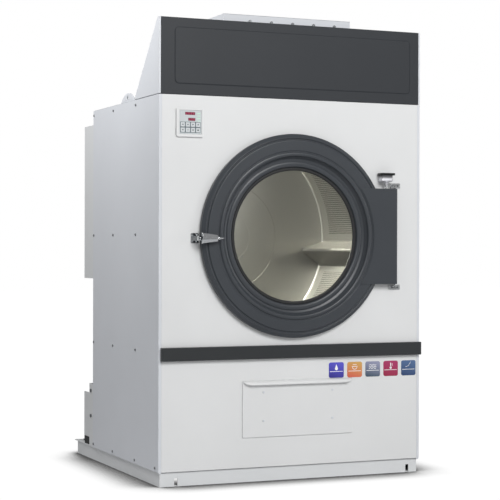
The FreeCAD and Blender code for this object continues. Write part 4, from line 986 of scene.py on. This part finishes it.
def drumLifters():
    s = lifter
    root = math.sqrt(drum["radius"] ** 2 - s["halfBase"] ** 2) - 1.0
    half, tall, ridge = s["halfBase"], s["height"], s["ridge"]
    flat = [(-half, -4, 0), (-half + 3, 1.5, 2), (-half + 10, 6, 8), (-ridge, tall, ridge * 0.9)]
    flat += [(ridge, tall, ridge * 0.9), (half - 10, 6, 8), (half - 3, 1.5, 2), (half, -4, 0)]
    section = fillet(flat, True, 6)
    length = s["rear"] - s["front"]
    stations = [(0, 0.0), (1.5, 0.6), (4, 0.9), (8, 1.0), (length * 0.5, 1.0), (length, 1.0)]
    for index in range(drum["lifters"]):
        angle = drum["firstLifter"] + math.tau * index / drum["lifters"]
        radial = Vector((math.cos(angle), 0, math.sin(angle)))
        tangent = Vector((-math.sin(angle), 0, math.cos(angle)))
        rings = []
        for along, scale in stations:
            ring = []
            for u, h in section:
                squeeze = 1.0 if h < 6 else 0.85 + 0.15 * scale
                height = h * scale if h > 0 else h
                point = doorCentre + radial * (root - height) * mm + tangent * u * squeeze * mm
                point.y = frontY + (s["front"] + along) * mm
                ring.append(point)
            rings.append(ring)
        name = "lifterRib%d" % (index + 1)
        makePiece(name, [loft(rings)], drumSteel, "drum", ["drum_lifters"])
    boss = [(0, 848, 0), (0, 838, 0), (24, 838, 3), (26, 843, 2), (130, 845, 2), (137, 848, 1)]
    makePiece("hubBoss", [lathe(fromFront(boss), doorCentre, "Y", 128)], drumSteel, "drum")


# Rear guard edge, lugs and the rest keep their CAD shape

dressing = {
    "base_frame": (basePaint, 1.2), "inner_frame": (frameGreyPaint, 0.8), "front_panel": (whitePaint, 0.0),
    "hood_cheeks": (sidePaint, 0.5), "roof_panel": (galvanised, 0.3),
    "rear_panel": (galvanised, 0.4), "lifting_lugs": (sidePaint, 0.9), "heater_box": (sidePaint, 0.5),
    "heater_coil": (finAluminium, 0.0), "cabinet_fasteners": (zincPlate, 0.3),
    "hinge_brackets": (trimSteel, 0.8), "hinge_pin": (shaftSteel, 0.6), "drum_jacket": (galvanised, 0.4),
    "bearing_housings": (pulleyIron, 1.0), "drive_motor": (motorIron, 0.8), "motor_bracket": (basePaint, 1.0),
    "rubber_mounts": (blackRubber, 3.0), "belt_guard": (basePaint, 0.6), "v_belts": (beltRubber, 1.0),
    "fan_housing": (galvanised, 0.5), "fan_motor": (motorIron, 0.8), "supply_gland": (blackNylon, 0.7),
    "hinge_plate": (doorEnamel, 1.1), "door_glass": (glassMaterial, 0.8), "glass_retainer": (trimSteel, 0.6),
    "drum_shaft": (shaftSteel, 0.8), "drum_pulley": (pulleyIron, 0.8), "jackshaft": (pulleyIron, 0.6),
    "motor_pulley": (pulleyIron, 0.6), "fan_impeller": (galvanised, 0.4), "drawer_tray": (galvanised, 0.4),
    "lint_screen": (trimSteel, 0.0), "drawer_screws": (sidePaint, 0.25),
}

sidePanels()
lowerSheet()
fasciaPan()
trimBand()
print("cabinet sheets made")
doorRing()
glassGasket()
mouthCollar()
doorSeal()
latchLever()
latchBlock()
latchCatch()
doorSwitch()
print("door made")
controlPanel()
functionBadges()
drawerFront()
print("controls, badges and drawer made")
drumShell()
drumLifters()
print("drum made")
for node, (material, edge) in dressing.items():
    dress(node, material, edge * mm)
print("frame nodes dressed:", len(dressing))


# Stage, light and camera

studio = {
    "floorSize": 60.0, "shadowReach": 0.24, "shadowFrom": 0.5, "shadowDark": 0.08, "floorWhite": 1.02,
    "worldWhite": 1.0, "worldFill": 0.3,
    "keyPower": 292.0, "keySize": (3.6, 2.6), "keyPlace": (0.1, -6.5, 4.4),
    "leftPower": 33.0, "leftSize": (1.4, 1.0), "leftPlace": (-1.8, 0.0, 3.0),
    "rightPower": 30.0, "rightSize": (0.8, 3.0), "rightPlace": (4.6, -4.2, 1.6),
    "drumPower": 17.0, "drumSize": (0.4, 0.2), "drumPlace": (-0.14, 0.16, 0.42),
    "drumTarget": (0.05, 0.8, -0.42), "leftTarget": (-0.5, -0.2, 1.4), "rightTarget": (0.1, frontY, 1.1),
}


def stageFloor():
    mesh = bpy.data.meshes.new("studioFloor")
    half = studio["floorSize"] / 2
    corners = [(u * half, v * half, floorZ) for u, v in ((-1, -1), (1, -1), (1, 1), (-1, 1))]
    mesh.from_pydata(corners, [], [(0, 1, 2, 3)])
    obj = bpy.data.objects.new("studioFloor", mesh)
    bpy.context.scene.collection.objects.link(obj)
    material = bpy.data.materials.new("paleStudioFloor")
    material.use_nodes = True
    tree = material.node_tree
    shader = tree.nodes["Principled BSDF"]
    values = {"Roughness": 0.9, "Specular IOR Level": 0.0, "Emission Color": (1, 1, 1, 1)}
    for key, value in values.items():
        shader.inputs[key].default_value = value
    # Seen directly, the floor is a plain white with a painted contact shadow: its glow is dimmed by ambient
    # occlusion where it meets the machine, not shaded by the lamps.
    path = addNode(tree, "ShaderNodeLightPath")
    corner = addNode(tree, "ShaderNodeAmbientOcclusion", {"samples": 16, "Distance": studio["shadowReach"]})
    tone = addNode(
        tree, "ShaderNodeMapRange",
        {
            "interpolation_type": "SMOOTHSTEP", "From Min": studio["shadowFrom"], "From Max": 1.0,
            "To Min": studio["shadowDark"], "To Max": studio["floorWhite"],
        },
        {"Value": corner.outputs["AO"]},
    )
    seen = addNode(
        tree, "ShaderNodeMath", {"operation": "MULTIPLY"},
        {0: path.outputs["Is Camera Ray"], 1: tone.outputs[0]},
    )
    bounce = addNode(tree, "ShaderNodeMix", {"data_type": "RGBA"}, {0: path.outputs["Is Camera Ray"]})
    bounce.inputs[6].default_value = (0.6, 0.6, 0.61, 1)
    bounce.inputs[7].default_value = (0.0, 0.0, 0.0, 1)
    tree.links.new(bounce.outputs[2], shader.inputs["Base Color"])
    tree.links.new(seen.outputs[0], shader.inputs["Emission Strength"])
    mesh.materials.append(material)


def areaLight(name, place, target, size, power):
    data = bpy.data.lights.new(name, "AREA")
    data.shape = "RECTANGLE"
    data.size, data.size_y = size
    data.energy = power
    obj = bpy.data.objects.new(name, data)
    bpy.context.scene.collection.objects.link(obj)
    obj.location = place
    obj.rotation_euler = (Vector(target) - Vector(place)).to_track_quat("-Z", "Y").to_euler()
    obj.visible_camera = False


def studioLight():
    world = bpy.data.worlds.new("whiteStudio")
    bpy.context.scene.world = world
    world.use_nodes = True
    tree = world.node_tree
    background = tree.nodes["Background"]
    path = addNode(tree, "ShaderNodeLightPath")
    strength = addNode(
        tree, "ShaderNodeMapRange", {"To Min": studio["worldFill"], "To Max": studio["worldWhite"]},
        {"Value": path.outputs["Is Camera Ray"]},
    )
    background.inputs["Color"].default_value = (1, 1, 1, 1)
    tree.links.new(strength.outputs[0], background.inputs["Strength"])
    middle = (0, frontY, 1.1)
    areaLight("keySoftbox", studio["keyPlace"], middle, studio["keySize"], studio["keyPower"])
    for name, side in (("leftSoftbox", "left"), ("rightStrip", "right")):
        areaLight(name, *(studio[side + key] for key in ("Place", "Target", "Size", "Power")))
    origin = Vector((0, frontY, doorCentre.z))
    inside = origin + Vector(studio["drumPlace"])
    target = origin + Vector(studio["drumTarget"])
    areaLight("drumSoftbox", inside, target, studio["drumSize"], studio["drumPower"])


view = {
    "place": (-3.0542, -7.2240, 1.0971), "lens": 110.4, "sensor": 36.0,
    "yaw": 23.191, "pitch": -0.073, "roll": 0.142,
}


def studioCamera():
    data = bpy.data.cameras.new("studioCamera")
    data.lens = view["lens"]
    data.sensor_width = view["sensor"]
    obj = bpy.data.objects.new("studioCamera", data)
    bpy.context.scene.collection.objects.link(obj)
    yaw, pitch, roll = (math.radians(view[key]) for key in ("yaw", "pitch", "roll"))
    ahead = Vector((math.sin(yaw) * math.cos(pitch), math.cos(yaw) * math.cos(pitch), math.sin(pitch)))
    right = Vector((math.cos(yaw), -math.sin(yaw), 0))
    up = right.cross(ahead)
    x = right * math.cos(roll) + up * math.sin(roll)
    y = up * math.cos(roll) - right * math.sin(roll)
    turn = Matrix((x, y, -ahead)).transposed().to_4x4()
    obj.matrix_world = Matrix.Translation(Vector(view["place"])) @ turn
    bpy.context.scene.camera = obj


stageFloor()
studioLight()
studioCamera()
bpy.context.scene.view_settings.view_transform = "Standard"
print("stage, light and camera set")
